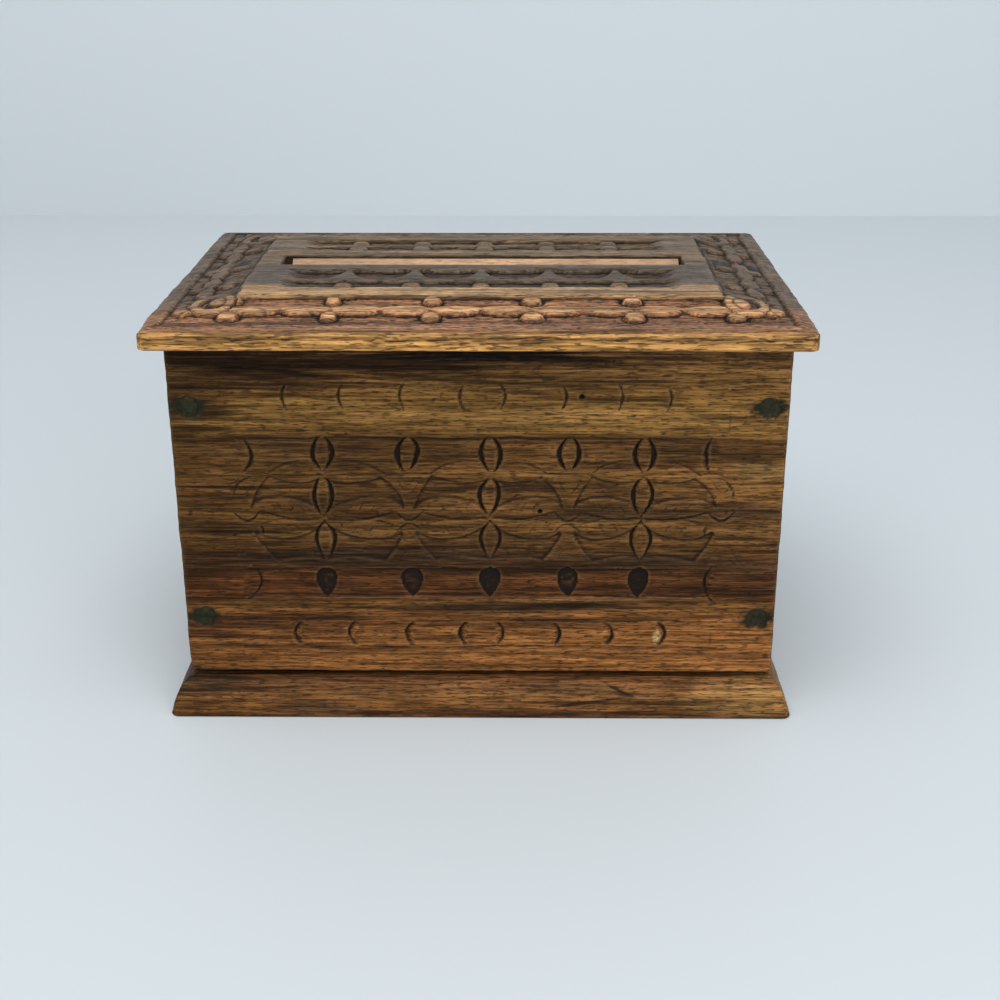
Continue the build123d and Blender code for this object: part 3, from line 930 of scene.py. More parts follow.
def recess_relief(x, y, low, high, toward, ground, seed):
    """Depth of one carved recess of the panel, which runs out at both ends: a chain of thin leaves with pips
    under it, and over it domes, which have wings in the front recess. Its top edge, the one by the slot, is a
    cosine wave. toward is 1 at the front and -1 at the back."""
    inside = np.minimum(y - low, high - y)
    wave = 0.7 * (1 - np.cos(2 * np.pi * x / RECESS_PITCH))
    top_gap = (high - y) if toward > 0 else (y - low)
    tall = high - low
    inside = np.where(top_gap < tall / 2, np.minimum(inside, top_gap - wave), inside)
    step = x / RECESS_PITCH
    away = np.abs(step - np.round(step)) * RECESS_PITCH
    down = top_gap / tall
    swell = arch(away / (RECESS_PITCH / 2)) ** 0.8
    leaves = 0.25 + 0.75 * swell - np.abs(top_gap - 0.5 * tall - 0.5)
    flare = 0.9 + 4.6 * np.clip(down / 0.52, 0, 1) ** 1.9
    wings = np.where((down < 0.54) & (toward > 0), flare - away, -9) * 0.8
    domes = round_petal(away, top_gap, (0, 0.36 * tall), 2.1, 2.9)
    pips = round_petal(away, top_gap, (0, 0.79 * tall), 2.0, 2.1)
    raised = np.maximum.reduce([leaves, domes, wings, pips])
    carved = 0.15 + sunk_ground(raised, 0.3, ground, 0.5, 1.2)
    rough = 0.1 * patch_noise(x, y, 1.2, 0.7, seed + 31) * (raised < 0)
    runs_out = smooth((RECESS_HALF + 1 - np.abs(x)) / 6)
    return runs_out * np.clip(inside / 0.4, 0, 1) * (carved + rough)


def lid_tints(x, y, seed):
    """Masks of the lid's colours: the raised shapes of the front band, and the bands at the two ends, which
    begin at a ragged line near the front."""
    from_side, from_front = from_edges(x, y)
    near_front = smooth((-y - 28) / 4) * (from_front < LID_BAND)
    ragged = 2.2 * patch_noise(x, y, 7, 2.5, seed + 40) + 1.2 * patch_noise(x, y, 2.5, 0.8, seed + 41)
    flank = smooth((LID_BAND + 0.8 - from_side) / 1.2) * smooth((y + 41 + ragged) / 9)
    return {"chain": smooth(band_shapes(x, y) / 0.4) * near_front, "flank": flank}


def lid_skin(x, y, carving, seed):
    """Depth under the plain top of the lid: the carved band, the two recesses, tool marks and worn edges."""
    ground = carving.lid_depth / MM
    u, v = strayed(x, y, 0.8 * carving.hand_wobble / MM, seed)
    d = np.minimum(*from_edges(u, v))
    depth = np.where(d < LID_BAND, band_relief(u, v, ground, seed), 0)
    front = recess_relief(u, v, *FRONT_RECESS, 1, 1.25 * ground, seed)
    back = recess_relief(u, v, *BACK_RECESS, -1, ground, seed)
    depth = np.maximum.reduce([depth, front * (v < 0), back * (v > 0)])
    rims = worn_edges(np.abs(d - LID_BAND - 0.2) + 9 * (d < LID_BAND), u + v, 0.5, seed + 24)
    slot = np.maximum(np.abs(x) - SLOT_HALF, np.maximum(SLOT_Y[0] - y, y - SLOT_Y[1]))
    depth = depth + rims + worn_edges(np.maximum(slot, 0), x, 0.35, seed + 25)
    return depth + 0.6 * face_marks(u, v, seed)


def half_width(x, high, corner):
    """Half width of a board at each x, as a column: straight, but for a quarter circle at each corner."""
    beyond = np.clip(np.abs(x) - (high[0] - corner), 0, corner)
    return (high[1] - corner + np.sqrt(corner**2 - beyond**2))[:, None]


def lid_underside(x, y):
    """Height of the underside: flat, with a bed for each hinge leaf and a round hollow over its knuckle."""
    by_hinge = np.abs(np.abs(x) - HINGE_X) < HINGE_HALF
    bed = by_hinge & (y > LEAF_EDGE) & (y < AXIS_Y)
    hollow = np.sqrt(np.clip(KNUCKLE_ROOM**2 - (y - AXIS_Y) ** 2, 0, None)) * by_hinge
    return LID_LOW[2] + np.maximum(LEAF_THICKNESS * bed, hollow)


def lid_rims(x, half, top_z, seed):
    """Rows of points down the back rim and up the front rim, as y and z, with small nicks."""
    rims = []
    for side, shares, edge_z, nick_seed in (
        (1, RIM_ROWS, top_z[:, -1:], seed + 28),
        (-1, RIM_ROWS[::-1], top_z[:, :1], seed + 26),
    ):
        height = shares[None, :] * (edge_z - LID_LOW[2])
        place = repeated(x, len(shares))
        nick = 0.12 * (1 + patch_noise(place, height * 3, 5, 2, nick_seed))
        rims.append((side * (half - nick * (np.abs(place) < LID_HIGH[0] - 0.5)), LID_LOW[2] + height))
    return rims


def lid_board(name, carving, seed):
    """The lid: its section is carried along x. The top is a height field, the rim has rows of its own, the
    underside has the hinge beds, and the quads over the slot are left out and its walls put in."""
    edge_x, edge_y = LID_HIGH[0], LID_HIGH[1]
    x = grid_lines(
        (-edge_x, -edge_x + 2.6, 0.26),
        (-edge_x + 2.6, -SLOT_HALF, 0.45),
        (-SLOT_HALF, SLOT_HALF, 0.44),
        (SLOT_HALF, edge_x - 2.6, 0.45),
        (edge_x - 2.6, edge_x, 0.26),
    )
    x = with_steps(x, HINGE_ENDS)
    top_y = grid_lines(
        (-edge_y, -edge_y + 1, 0.25),
        (-edge_y + 1, -31, 0.35),
        (-31, -25, 0.6),
        (-25, -4.6, 0.36),
        (-4.6, SLOT_Y[0], 0.45),
        (SLOT_Y[0], SLOT_Y[1], 5.5),
        (SLOT_Y[1], 15, 0.5),
        (15, 29, 0.37),
        (29, 34, 0.7),
        (34, edge_y - 1, 0.45),
        (edge_y - 1, edge_y, 0.25),
    )
    knuckle = AXIS_Y + KNUCKLE_ROOM * np.cos(np.linspace(0, np.pi, 9))
    leaf_step = (LEAF_EDGE + STEP_SLOPE, LEAF_EDGE - STEP_SLOPE)
    to_front = (*leaf_step, 25, SLOT_Y[1], SLOT_Y[0], -25, -edge_y + UNDER_INSET)
    low_y = np.array([edge_y - UNDER_INSET, *knuckle, *to_front])
    half = half_width(x, LID_HIGH, LID_CORNER)
    u = repeated(x, len(top_y))
    v = top_y[None, :] * half / edge_y
    depth = lid_skin(u, v, carving, seed)
    inward = np.minimum(edge_x - np.abs(u), np.where(v < 0, FRONT_SCALE, 1.0) * (half - np.abs(v)))
    rounded = worn_edges(inward, u + v, LID_ROUND, seed + 26)
    droop = LID_DROOP * np.clip(1 - inward / 6, 0, 1) ** 2 * (0.3 + 0.7 * smooth((-v - 40) / 10))
    rise = LID_EDGE + LID_RISE * np.clip(inward / LID_BAND, 0, 1) - droop
    top_z = LID_LOW[2] + rise - depth - rounded
    (back_y, back_z), (front_y, front_z) = lid_rims(x, half, top_z, seed)
    under_high = half - UNDER_INSET - UNDER_GAP * np.arange(len(low_y))
    under_y = np.clip(low_y[None, :], UNDER_INSET - half, under_high)
    under_z = lid_underside(repeated(x, len(low_y)), under_y)
    ring_y = np.concatenate([v, back_y, under_y, front_y], 1)
    ring_z = np.concatenate([top_z, back_z, under_z, front_z], 1)
    ring = ring_y.shape[1]
    ring_x = repeated(x, ring)
    low_start = len(top_y) + len(RIM_ROWS)
    masks = carved_masks(depth + rounded, ring) | lid_tints(ring_x, ring_y, seed)
    masks["under"] = np.zeros(ring_y.shape)
    masks["under"][:, low_start : low_start + len(low_y)] = 1
    return swept(name, ring_x, ring_y, ring_z, masks, slot_faces(x, top_y, low_y, low_start, ring))


def slot_faces(x, top_y, low_y, low_start, ring):
    """Faces of the swept lid with its straight slot: the quads over and under the slot are left out, two
    strips make its long walls and two many-sided faces its short ones."""
    quads, first, last = tube_faces(len(x), ring)
    begin, end = np.searchsorted(x, np.array([-SLOT_HALF, SLOT_HALF]) - 1e-6)
    top_low, top_high = (int(np.abs(top_y - edge).argmin()) for edge in SLOT_Y)
    under_low, under_high = (low_start + int(np.abs(low_y - edge).argmin()) for edge in SLOT_Y)
    station, place = quads[:, 0] // ring, quads[:, 0] % ring
    over = (place >= top_low) & (place < top_high) | (place >= under_high) & (place < under_low)
    quads = quads[~(over & (station >= begin) & (station < end))]
    i = np.arange(begin, end) * ring
    near = np.stack([i + top_low, i + ring + top_low, i + ring + under_low, i + under_low], -1)
    far = np.stack([i + ring + top_high, i + top_high, i + under_high, i + ring + under_high], -1)
    tops, unders = np.arange(top_low, top_high + 1), np.arange(under_high, under_low + 1)
    left = np.concatenate([tops[::-1], unders[::-1]])[None, :] + begin * ring
    right = np.concatenate([tops, unders])[None, :] + end * ring
    return quads, first, last, near, far, left, right


# The plinth


def plinth_inward(x, y):
    """Distance in from the plinth's outline, a rectangle with round corners."""
    over_x = np.abs(x) - (PLINTH_HIGH[0] - PLINTH_CORNER)
    over_y = np.abs(y) - (PLINTH_HIGH[1] - PLINTH_CORNER)
    outside = np.hypot(np.maximum(over_x, 0), np.maximum(over_y, 0))
    return PLINTH_CORNER - outside - np.minimum(np.maximum(over_x, over_y), 0)


def plinth_height(inward):
    """Height of the plinth's top at a distance d in from its outline, by the curve
    (1 - d / a)^1.5 + (z / h)^1.5 = 1, where a is the edge's width and h the plinth's height."""
    outward = np.clip(1 - inward / PLINTH_EDGE, 0, 1) ** 1.5
    return PLINTH_HIGH[2] * (1 - outward) ** (2 / 3)


def countersinks(x, y, screw_y):
    """Height of the plinth's underside: flat, but for a cone round each of the blade's screws."""
    height = np.zeros(x.shape)
    seat = SCREW_HEAD + SCREW_FIT
    low, high = SCREW_LOW[0] + SCREW_HEAD, SCREW_HIGH[0] - SCREW_HEAD
    for place in (low, (low + high) / 2, high):
        away = np.hypot(x - place, y - screw_y)
        height = np.where(away < seat, SCREW_SINK + np.clip(seat - away, 0, SCREW_SLOPE), height)
    return height


def plinth_board(name, seed):
    """The plinth: its section is carried along x. The top is a height field with a housing for the blade's
    foot, and the underside is one with the countersinks."""
    edge_x, edge_y = PLINTH_HIGH[0], PLINTH_HIGH[1]
    rims = PLINTH_EDGE * (1 - (1 - np.linspace(0, 1, 15) ** 1.5) ** (2 / 3))
    low_x, high_x = BLADE_LOW[0] - HOUSING_FIT, BLADE_HIGH[0] + HOUSING_FIT
    low_y, high_y = BLADE_LOW[1] - HOUSING_FIT, BLADE_HIGH[1] + HOUSING_FIT
    screw_y = (SCREW_LOW[1] + SCREW_HIGH[1]) / 2
    flat_x, flat_y = edge_x - PLINTH_FLAT, edge_y - PLINTH_FLAT
    x = np.concatenate([rims - edge_x, grid_lines((-flat_x, flat_x, 0.8)), edge_x - rims])
    top_y = np.concatenate([rims - edge_y, grid_lines((-flat_y, flat_y, 2.0)), edge_y - rims])
    x, top_y = with_steps(x, (low_x, high_x)), with_steps(top_y, (low_y, high_y))
    by_screws = grid_lines((screw_y - 4, screw_y + 4, 0.5))
    under = np.array([UNDER_INSET - edge_y, -30, *by_screws, 30, edge_y - UNDER_INSET])
    half = half_width(x, PLINTH_HIGH, PLINTH_CORNER)
    u = repeated(x, len(top_y))
    v = top_y[None, :] * half / edge_y
    wobble = 0.09 * (1 + patch_noise(u, v, 11, 5, seed))
    marks = face_marks(u, v, seed)
    top_z = np.maximum(plinth_height(plinth_inward(u, v) - wobble) - marks, PLINTH_ARRIS)
    housing = (u > low_x) & (u < high_x) & (v > low_y) & (v < high_y)
    top_z = np.where(housing, BLADE_LOW[2], top_z)
    under_y = np.clip(under[None, ::-1], UNDER_INSET - half, half - UNDER_INSET)
    under_z = countersinks(repeated(x, len(under)), under_y, screw_y)
    ring_y = np.concatenate([v, under_y], 1)
    ring = ring_y.shape[1]
    ring_z = np.concatenate([top_z, under_z], 1)
    return swept(name, repeated(x, ring), ring_y, ring_z, carved_masks(marks, ring))


# Materials


def add(tree, kind, sockets=None, **settings):
    """A node with its settings and its sockets set or linked."""
    made = tree.nodes.new(kind)
    for key, value in settings.items():
        setattr(made, key, value)
    for key, value in (sockets or {}).items():
        if isinstance(value, bpy.types.NodeSocket):
            tree.links.new(value, made.inputs[key])
        else:
            made.inputs[key].default_value = value
    return made


def calc(tree, operation, first, second=0.0, clamp=False):
    """Output of a Math node."""
    return add(tree, "ShaderNodeMath", {0: first, 1: second}, operation=operation, use_clamp=clamp).outputs[0]


def times(tree, *factors):
    """Product of two or more values."""
    return reduce(lambda product, factor: calc(tree, "MULTIPLY", product, factor), factors)


def plus(tree, *terms):
    """Sum of two or more values."""
    return reduce(lambda total, term: calc(tree, "ADD", total, term), terms)


def less(tree, first, second):
    """The first value less the second."""
    return calc(tree, "SUBTRACT", first, second)


def vector_calc(tree, operation, first, second):
    """Output of a Vector Math node, whose second input is a number when it scales."""
    sockets = {0: first, (3 if operation == "SCALE" else 1): second}
    return add(tree, "ShaderNodeVectorMath", sockets, operation=operation).outputs[0]


def mixed(tree, factor, below, above, mode="MIX"):
    """Output of a colour Mix node."""
    sockets = {0: factor, 6: below, 7: above}
    return add(tree, "ShaderNodeMix", sockets, data_type="RGBA", blend_type=mode).outputs[2]


def mapped(tree, value, low, high, at_low, at_high):
    """The value mapped from the range low to high onto the range between the last two, clamped."""
    sockets = {"Value": value, "From Min": low, "From Max": high, "To Min": at_low, "To Max": at_high}
    return add(tree, "ShaderNodeMapRange", sockets).outputs[0]


def ramp(tree, value, low, high):
    """The value mapped from low to high onto 0 to 1, clamped."""
    return mapped(tree, value, low, high, 0.0, 1.0)


def spread(tree, value, at_low, at_high, reach=0.2):
    """A noise value, within the reach of a half, mapped onto a factor between the two given ones."""
    return mapped(tree, value, 0.5 - reach, 0.5 + reach, at_low, at_high)


def color_ramp(tree, value, stops):
    """Output of a colour ramp with the given (place, colour) stops."""
    made = add(tree, "ShaderNodeValToRGB", {0: value})
    elements = made.color_ramp.elements
    for number, (place, color) in enumerate(stops):
        element = elements[number] if number < 2 else elements.new(place)
        element.position = place
        element.color = (*color, 1)
    return made.outputs[0]


def noise(tree, vector, scale, detail=2.0, roughness=0.5, distortion=0.0):
    """Factor output of a noise texture."""
    sockets = {"Vector": vector, "Scale": scale, "Detail": detail}
    sockets |= {"Roughness": roughness, "Distortion": distortion}
    return add(tree, "ShaderNodeTexNoise", sockets).outputs[0]


def mesh_mask(tree, name):
    """A mask that the mesh holds as an attribute."""
    return add(tree, "ShaderNodeAttribute", attribute_name=name).outputs["Fac"]


def object_place(tree):
    """The place on the piece in metres."""
    return add(tree, "ShaderNodeTexCoord").outputs["Object"]


def in_mm(tree, place):
    """The place in millimetres."""
    return vector_calc(tree, "SCALE", place, 1000.0)


def roughen(tree, shader, height, strength, distance):
    """Gives a shader a fine relief by the height."""
    bump = add(tree, "ShaderNodeBump", {"Height": height, "Strength": strength, "Distance": distance})
    tree.links.new(bump.outputs[0], shader["Normal"])


def new_group(name, inputs, outputs):
    """A shader node group with named sockets, given as (name, type, default), and its two end nodes."""
    tree = bpy.data.node_groups.new(name, "ShaderNodeTree")
    for socket, kind, default in inputs:
        made = tree.interface.new_socket(socket, in_out="INPUT", socket_type=kind)
        if default is not None:
            made.default_value = default
    for socket, kind in outputs:
        tree.interface.new_socket(socket, in_out="OUTPUT", socket_type=kind)
    return tree, tree.nodes.new("NodeGroupInput").outputs, tree.nodes.new("NodeGroupOutput").inputs


FLOAT, COLOR, VECTOR = "NodeSocketFloat", "NodeSocketColor", "NodeSocketVector"
# The third group darkens creases and hollows with grime and painted shade, and lightens edges with wear and a
# painted highlight
GRAIN, HEART, SHADE_AND_WEAR = "hardwood grain", "heart streak", "carving grime, shade, wear and highlight"


def grain_group():
    """Grain of a board: its place in mm, squeezed along the grain, read by noise of several sizes."""
    inputs = (("Place", VECTOR, None), ("Across", VECTOR, (1, 1, 1)), ("Shift", VECTOR, (0, 0, 0)))
    outputs = (("Drift", FLOAT), ("Streak", FLOAT), ("Fibre", FLOAT), ("Pore", FLOAT), ("Mottle", FLOAT))
    tree, given, out = new_group(GRAIN, inputs, outputs)
    moved = vector_calc(tree, "ADD", in_mm(tree, given["Place"]), given["Shift"])
    squeezed = vector_calc(tree, "MULTIPLY", moved, given["Across"])
    shorter = vector_calc(tree, "ADD", given["Across"], (0.1, 0.1, 0.1))
    pores = noise(tree, vector_calc(tree, "MULTIPLY", moved, shorter), 2.6, 1.0, 0.5)
    tree.links.new(noise(tree, squeezed, 0.045, 3.0, 0.55, 0.6), out["Drift"])
    tree.links.new(noise(tree, squeezed, 0.42, 4.0, 0.62, 0.4), out["Streak"])
    tree.links.new(noise(tree, squeezed, 1.9, 3.0, 0.6), out["Fibre"])
    tree.links.new(ramp(tree, pores, 0.55, 0.63), out["Pore"])
    tree.links.new(noise(tree, moved, 0.22, 4.0, 0.6), out["Mottle"])
    return tree


def heart_group():
    """Mask of one dark or pale streak: an ellipse on the face, long along the grain, with a ragged edge."""
    inputs = (
        ("Along", FLOAT, 0.0),
        ("Across", FLOAT, 0.0),
        ("Ragged", FLOAT, 0.5),
        ("Middle Along", FLOAT, 0.0),
        ("Middle Across", FLOAT, 0.0),
        ("Half Length", FLOAT, 40.0),
        ("Half Width", FLOAT, 4.0),
        ("Lean", FLOAT, 0.0),
        ("Softness", FLOAT, 0.8),
    )
    tree, given, out = new_group(HEART, inputs, (("Mask", FLOAT),))
    along = less(tree, given["Along"], given["Middle Along"])
    across = less(tree, given["Across"], given["Middle Across"])
    across = less(tree, across, times(tree, along, given["Lean"]))
    squares = []
    for offset, half in ((along, "Half Length"), (across, "Half Width")):
        share = calc(tree, "DIVIDE", offset, given[half])
        squares.append(calc(tree, "POWER", calc(tree, "ABSOLUTE", share), 2.0))
    ragged = times(tree, less(tree, given["Ragged"], 0.5), 3.2)
    reach = less(tree, plus(tree, 1.0, ragged), plus(tree, *squares))
    tree.links.new(calc(tree, "DIVIDE", reach, given["Softness"], clamp=True), out["Mask"])
    return tree


def shade_and_wear_group():
    """Grime with painted shade, wear with a painted highlight, and stains of a carved face: creases and
    hollows darken by their masks, the hollows' to the fifth power, and edges lighten, both broken by
    mottle."""
    inputs = (
        ("Color", COLOR, (0.2, 0.1, 0.05, 1)),
        ("Mottle", FLOAT, 0.5),
        ("Grime and Shade Color", COLOR, (0.012, 0.008, 0.006, 1)),
        ("Worn and Highlight Color", COLOR, (0.3, 0.175, 0.075, 1)),
        ("Stain Color", COLOR, (0.013, 0.0135, 0.0075, 1)),
        ("Grime and Shade", FLOAT, 0.85),
        ("Hollow Grime and Shade", FLOAT, 3.4),
        ("Wear and Highlight", FLOAT, 0.16),
    )
    outputs = (("Color", COLOR), ("Grime and Shade Mask", FLOAT))
    tree, given, out = new_group(SHADE_AND_WEAR, inputs, outputs)
    # Grime and painted shade: creases and deep hollows darken
    deep = times(tree, calc(tree, "POWER", mesh_mask(tree, "hollow"), 5.0), given["Hollow Grime and Shade"])
    lying = plus(tree, mesh_mask(tree, "crease"), deep)
    broken = times(tree, lying, plus(tree, given["Mottle"], 0.45))
    grime_and_shade = calc(tree, "MULTIPLY", broken, given["Grime and Shade"], clamp=True)
    # Wear and a painted highlight: edges lighten
    rubbed_and_highlit = times(tree, mesh_mask(tree, "edge"), ramp(tree, given["Mottle"], 0.35, 0.65))
    wear = calc(tree, "MULTIPLY", rubbed_and_highlit, given["Wear and Highlight"], clamp=True)
    worn = mixed(tree, wear, given["Color"], given["Worn and Highlight Color"])
    grimy_and_shaded = mixed(tree, grime_and_shade, worn, given["Grime and Shade Color"])
    tree.links.new(mixed(tree, mesh_mask(tree, "stain"), grimy_and_shaded, given["Stain Color"]), out["Color"])
    tree.links.new(grime_and_shade, out["Grime and Shade Mask"])
    return tree


GROUP_MAKERS = {GRAIN: grain_group, HEART: heart_group, SHADE_AND_WEAR: shade_and_wear_group}


def use_group(tree, name, sockets):
    """The outputs of a shared group placed in a material. The group is built when it is first used."""
    group = bpy.data.node_groups.get(name) or GROUP_MAKERS[name]()
    return add(tree, "ShaderNodeGroup", sockets, node_tree=group).outputs


def new_material(name):
    """An empty material with a Principled shader: the material, its tree and the shader's inputs."""
    material = bpy.data.materials.new(name)
    material.use_nodes = True
    tree = material.node_tree
    shader = next(n for n in tree.nodes if n.type == "BSDF_PRINCIPLED")
    return material, tree, shader.inputs


def board_grain(tree, squeeze, shift):
    """The place on a board and its grain, squeezed along the grain and shifted in mm."""
    place = object_place(tree)
    return place, use_group(tree, GRAIN, {"Place": place, "Across": squeeze, "Shift": shift})


# Squeeze of the grain of a board that lies along x or y, and the strength and height in metres of its fibre
ALONG_X, ALONG_Y = (0.045, 1, 1), (1, 0.045, 1)
FIBRE_RELIEF = (0.35, 0.0002)


def carved_hardwood(
    name,
    bands,
    streaks,
    axis,
    finish,
    squeeze=ALONG_X,
    shift=(0, 0, 0),
    along="X",
    drift_mm=9.0,
    ends=(1.0, 1.0),
    depth_grime_and_shade=3.4,
    gloss=0.04,
    zones=(),
):
    """Waxed hardwood: bands of colour across the board, dark streaks along it, fibre, pores, grime and
    painted shade in creases and hollows, and wear and a painted highlight on edges.

    bands are (place in mm, colour) along the axis, and streaks are (along, across, half length, half width,
    colour, strength, lean). ends are the factors on the colour at the two ends of the board, and zones are
    (attribute, colour) for the parts that a mask on the mesh colours."""
    material, tree, shader = new_material(name)
    place, grain = board_grain(tree, squeeze, shift)
    split = add(tree, "ShaderNodeSeparateXYZ", {0: place}).outputs
    across_mm, along_mm = times(tree, split[axis], 1000.0), times(tree, split[along], 1000.0)
    drifted = plus(tree, across_mm, times(tree, less(tree, grain["Drift"], 0.5), drift_mm))
    height = plus(tree, drifted, times(tree, less(tree, grain["Streak"], 0.5), 0.4 * drift_mm))
    low, high = bands[0][0], bands[-1][0]
    stops = [((mm - low) / (high - low), color) for mm, color in bands]
    color = color_ramp(tree, ramp(tree, height, low, high), stops)
    for *measures, streak_color, strength, lean in streaks:
        sockets = {"Along": along_mm, "Across": drifted, "Ragged": grain["Streak"], "Lean": lean}
        sockets |= zip(("Middle Along", "Middle Across", "Half Length", "Half Width"), measures)
        mask = use_group(tree, HEART, sockets)["Mask"]
        color = mixed(tree, times(tree, mask, strength), color, (*streak_color, 1))
    for mask, zone_color in zones:
        color = mixed(tree, mesh_mask(tree, mask), color, (*zone_color, 1))
    dark = (*finish.heart, 1)
    streaky = spread(tree, grain["Streak"], 1.5, 0.5, 0.15)
    fibrous = spread(tree, grain["Fibre"], 1.6, 0.5, 0.13)
    mottled = spread(tree, grain["Mottle"], 1.15, 0.85)
    side_to_side = mapped(tree, along_mm, -70.0, 70.0, *ends)
    color = mixed(tree, 1.0, color, times(tree, streaky, fibrous, mottled, side_to_side), "MULTIPLY")
    color = mixed(tree, times(tree, ramp(tree, grain["Streak"], 0.56, 0.74), 0.6), color, dark)
    pale = times(tree, ramp(tree, grain["Fibre"], 0.4, 0.22), 0.3)
    color = mixed(tree, pale, color, (*finish.golden, 1))
    color = mixed(tree, times(tree, grain["Pore"], 0.7), color, dark)
    # Grime and painted shade darken creases and hollows, and wear and a painted highlight lighten edges
    worn = use_group(tree, SHADE_AND_WEAR, {"Color": color, "Mottle": grain["Mottle"], "Hollow Grime and Shade": depth_grime_and_shade})
    tree.links.new(worn["Color"], shader["Base Color"])
    rough = plus(tree, 0.42, times(tree, worn["Grime and Shade Mask"], 0.25))
    rough = plus(tree, rough, times(tree, less(tree, grain["Mottle"], 0.5), 0.25))
    tree.links.new(rough, shader["Roughness"])
    relief = plus(tree, times(tree, grain["Fibre"], 0.5), grain["Streak"])
    relief = less(tree, relief, times(tree, grain["Pore"], 0.8))
    roughen(tree, shader, relief, *FIBRE_RELIEF)
    shader["Specular IOR Level"].default_value = gloss
    return material


def plain_wood(name, color, darker, roughness, shift, grime=0.35):
    """Plain sawn wood: grain between a colour and a darker one, which is a share of it, soft grime in patches
    and a fibrous surface."""
    pale, dark = (*color, 1), (*(darker * part for part in color), 1)
    grime_color = (0.05, 0.03, 0.02, 1)
    material, tree, shader = new_material(name)
    _, grain = board_grain(tree, ALONG_X, shift)
    base = mixed(tree, ramp(tree, grain["Streak"], 0.36, 0.68), pale, dark)
    base = mixed(tree, times(tree, ramp(tree, grain["Fibre"], 0.42, 0.72), 0.45), base, dark)
    base = mixed(tree, times(tree, grain["Pore"], 0.4), base, grime_color)
    soiled = times(tree, ramp(tree, grain["Mottle"], 0.45, 0.75), grime)
    tree.links.new(mixed(tree, soiled, base, grime_color), shader["Base Color"])
    tree.links.new(plus(tree, roughness, times(tree, grain["Mottle"], 0.2)), shader["Roughness"])
    roughen(tree, shader, grain["Fibre"], *FIBRE_RELIEF)
    return material


def worn_metal(name, color, tarnish, roughness):
    """Dull metal: cloudy tarnish over the bare colour, fine scratches and a slightly uneven surface."""
    material, tree, shader = new_material(name)
    place = in_mm(tree, object_place(tree))
    cloud = noise(tree, place, 0.35, 4.0, 0.6)
    scratch = noise(tree, vector_calc(tree, "MULTIPLY", place, (0.3, 6.0, 6.0)), 1.2, 2.0, 0.5)
    tree.links.new(mixed(tree, ramp(tree, cloud, 0.4, 0.7), (*color, 1), (*tarnish, 1)), shader["Base Color"])
    shader["Metallic"].default_value = 1.0
    tree.links.new(plus(tree, roughness, times(tree, cloud, 0.3)), shader["Roughness"])
    roughen(tree, shader, scratch, 0.25, 0.0001)
    return material


def peg_filling():
    """End grain of a peg: brown, and green-black with a few lighter specks where the stain lies."""
    material, tree, shader = new_material("stained peg")
    place = in_mm(tree, object_place(tree))
    cloud, speck = noise(tree, place, 0.8, 4.0, 0.65), noise(tree, place, 3.0, 2.0, 0.6)
    cloudy = ramp(tree, cloud, 0.35, 0.7)
    plain = mixed(tree, cloudy, (0.075, 0.036, 0.015, 1), (0.035, 0.02, 0.01, 1))
    dark = mixed(tree, cloudy, (0.01, 0.011, 0.006, 1), (0.026, 0.026, 0.014, 1))
    dark = mixed(tree, times(tree, ramp(tree, speck, 0.62, 0.75), 0.35), dark, (0.08, 0.065, 0.035, 1))
    tree.links.new(mixed(tree, mesh_mask(tree, "stain"), plain, dark), shader["Base Color"])
    shader["Roughness"].default_value = 0.62
    shader["Specular IOR Level"].default_value = 0.05
    roughen(tree, shader, speck, 0.5, 0.0003)
    return material


def finish_node(name, material, edge_mm):
    """Gives a CAD node its material, joins its loose triangles and rounds its edges by a bevel."""
    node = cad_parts[name]
    for slot in node.material_slots:
        slot.material = material
    if not node.material_slots:
        node.data.materials.append(material)
    weld = node.modifiers.new("joined corners", "WELD")
    weld.merge_threshold = 0.002 * MM
    bevel = node.modifiers.new("worn edges", "BEVEL")
    bevel.width = edge_mm * MM
    bevel.segments = 2
    bevel.limit_method = "ANGLE"
    bevel.angle_limit = math.radians(35)
    bevel.harden_normals = False


# Colours of the long walls' bands from the foot up, by their heights in mm
FOOT_BROWN = (0.145, 0.057, 0.017)
ORANGE_BROWN = (0.185, 0.073, 0.021)
RUSSET = (0.082, 0.029, 0.009)
BROWN = (0.093, 0.042, 0.0118)
UMBER = (0.082, 0.0365, 0.0105)
DEEP_BROWN = (0.068, 0.031, 0.0095)
GREY_BROWN = (0.036, 0.0165, 0.0072)
OLIVE = (0.105, 0.05, 0.0155)
GOLD = (0.165, 0.085, 0.0245)
TAN = (0.147, 0.073, 0.0185)
# Dark heartwood with the lid's shadow painted in, for the top of the long walls
HEARTWOOD_AND_LID_SHADOW = (0.019, 0.0078, 0.003)
LEAF_BROWN = (0.108, 0.0495, 0.0145)
WARM_BROWN = (0.125, 0.058, 0.017)
RIM_BROWN = (0.075, 0.036, 0.013)

FRONT_BANDS = (
    (5, FOOT_BROWN),
    (14, ORANGE_BROWN),
    (21, ORANGE_BROWN),
    (25, FOOT_BROWN),
    (29, BROWN),
    (31.5, RUSSET),
    (36, RUSSET),
    (39, GREY_BROWN),
    (43.5, UMBER),
    (47.5, OLIVE),
    (51, BROWN),
    (56.5, LEAF_BROWN),
    (60, WARM_BROWN),
    (62.5, BROWN),
    (70, DEEP_BROWN),
    (72.3, TAN),
    (75.5, GOLD),
    (81, TAN),
    (87, OLIVE),
    (95, RIM_BROWN),
)
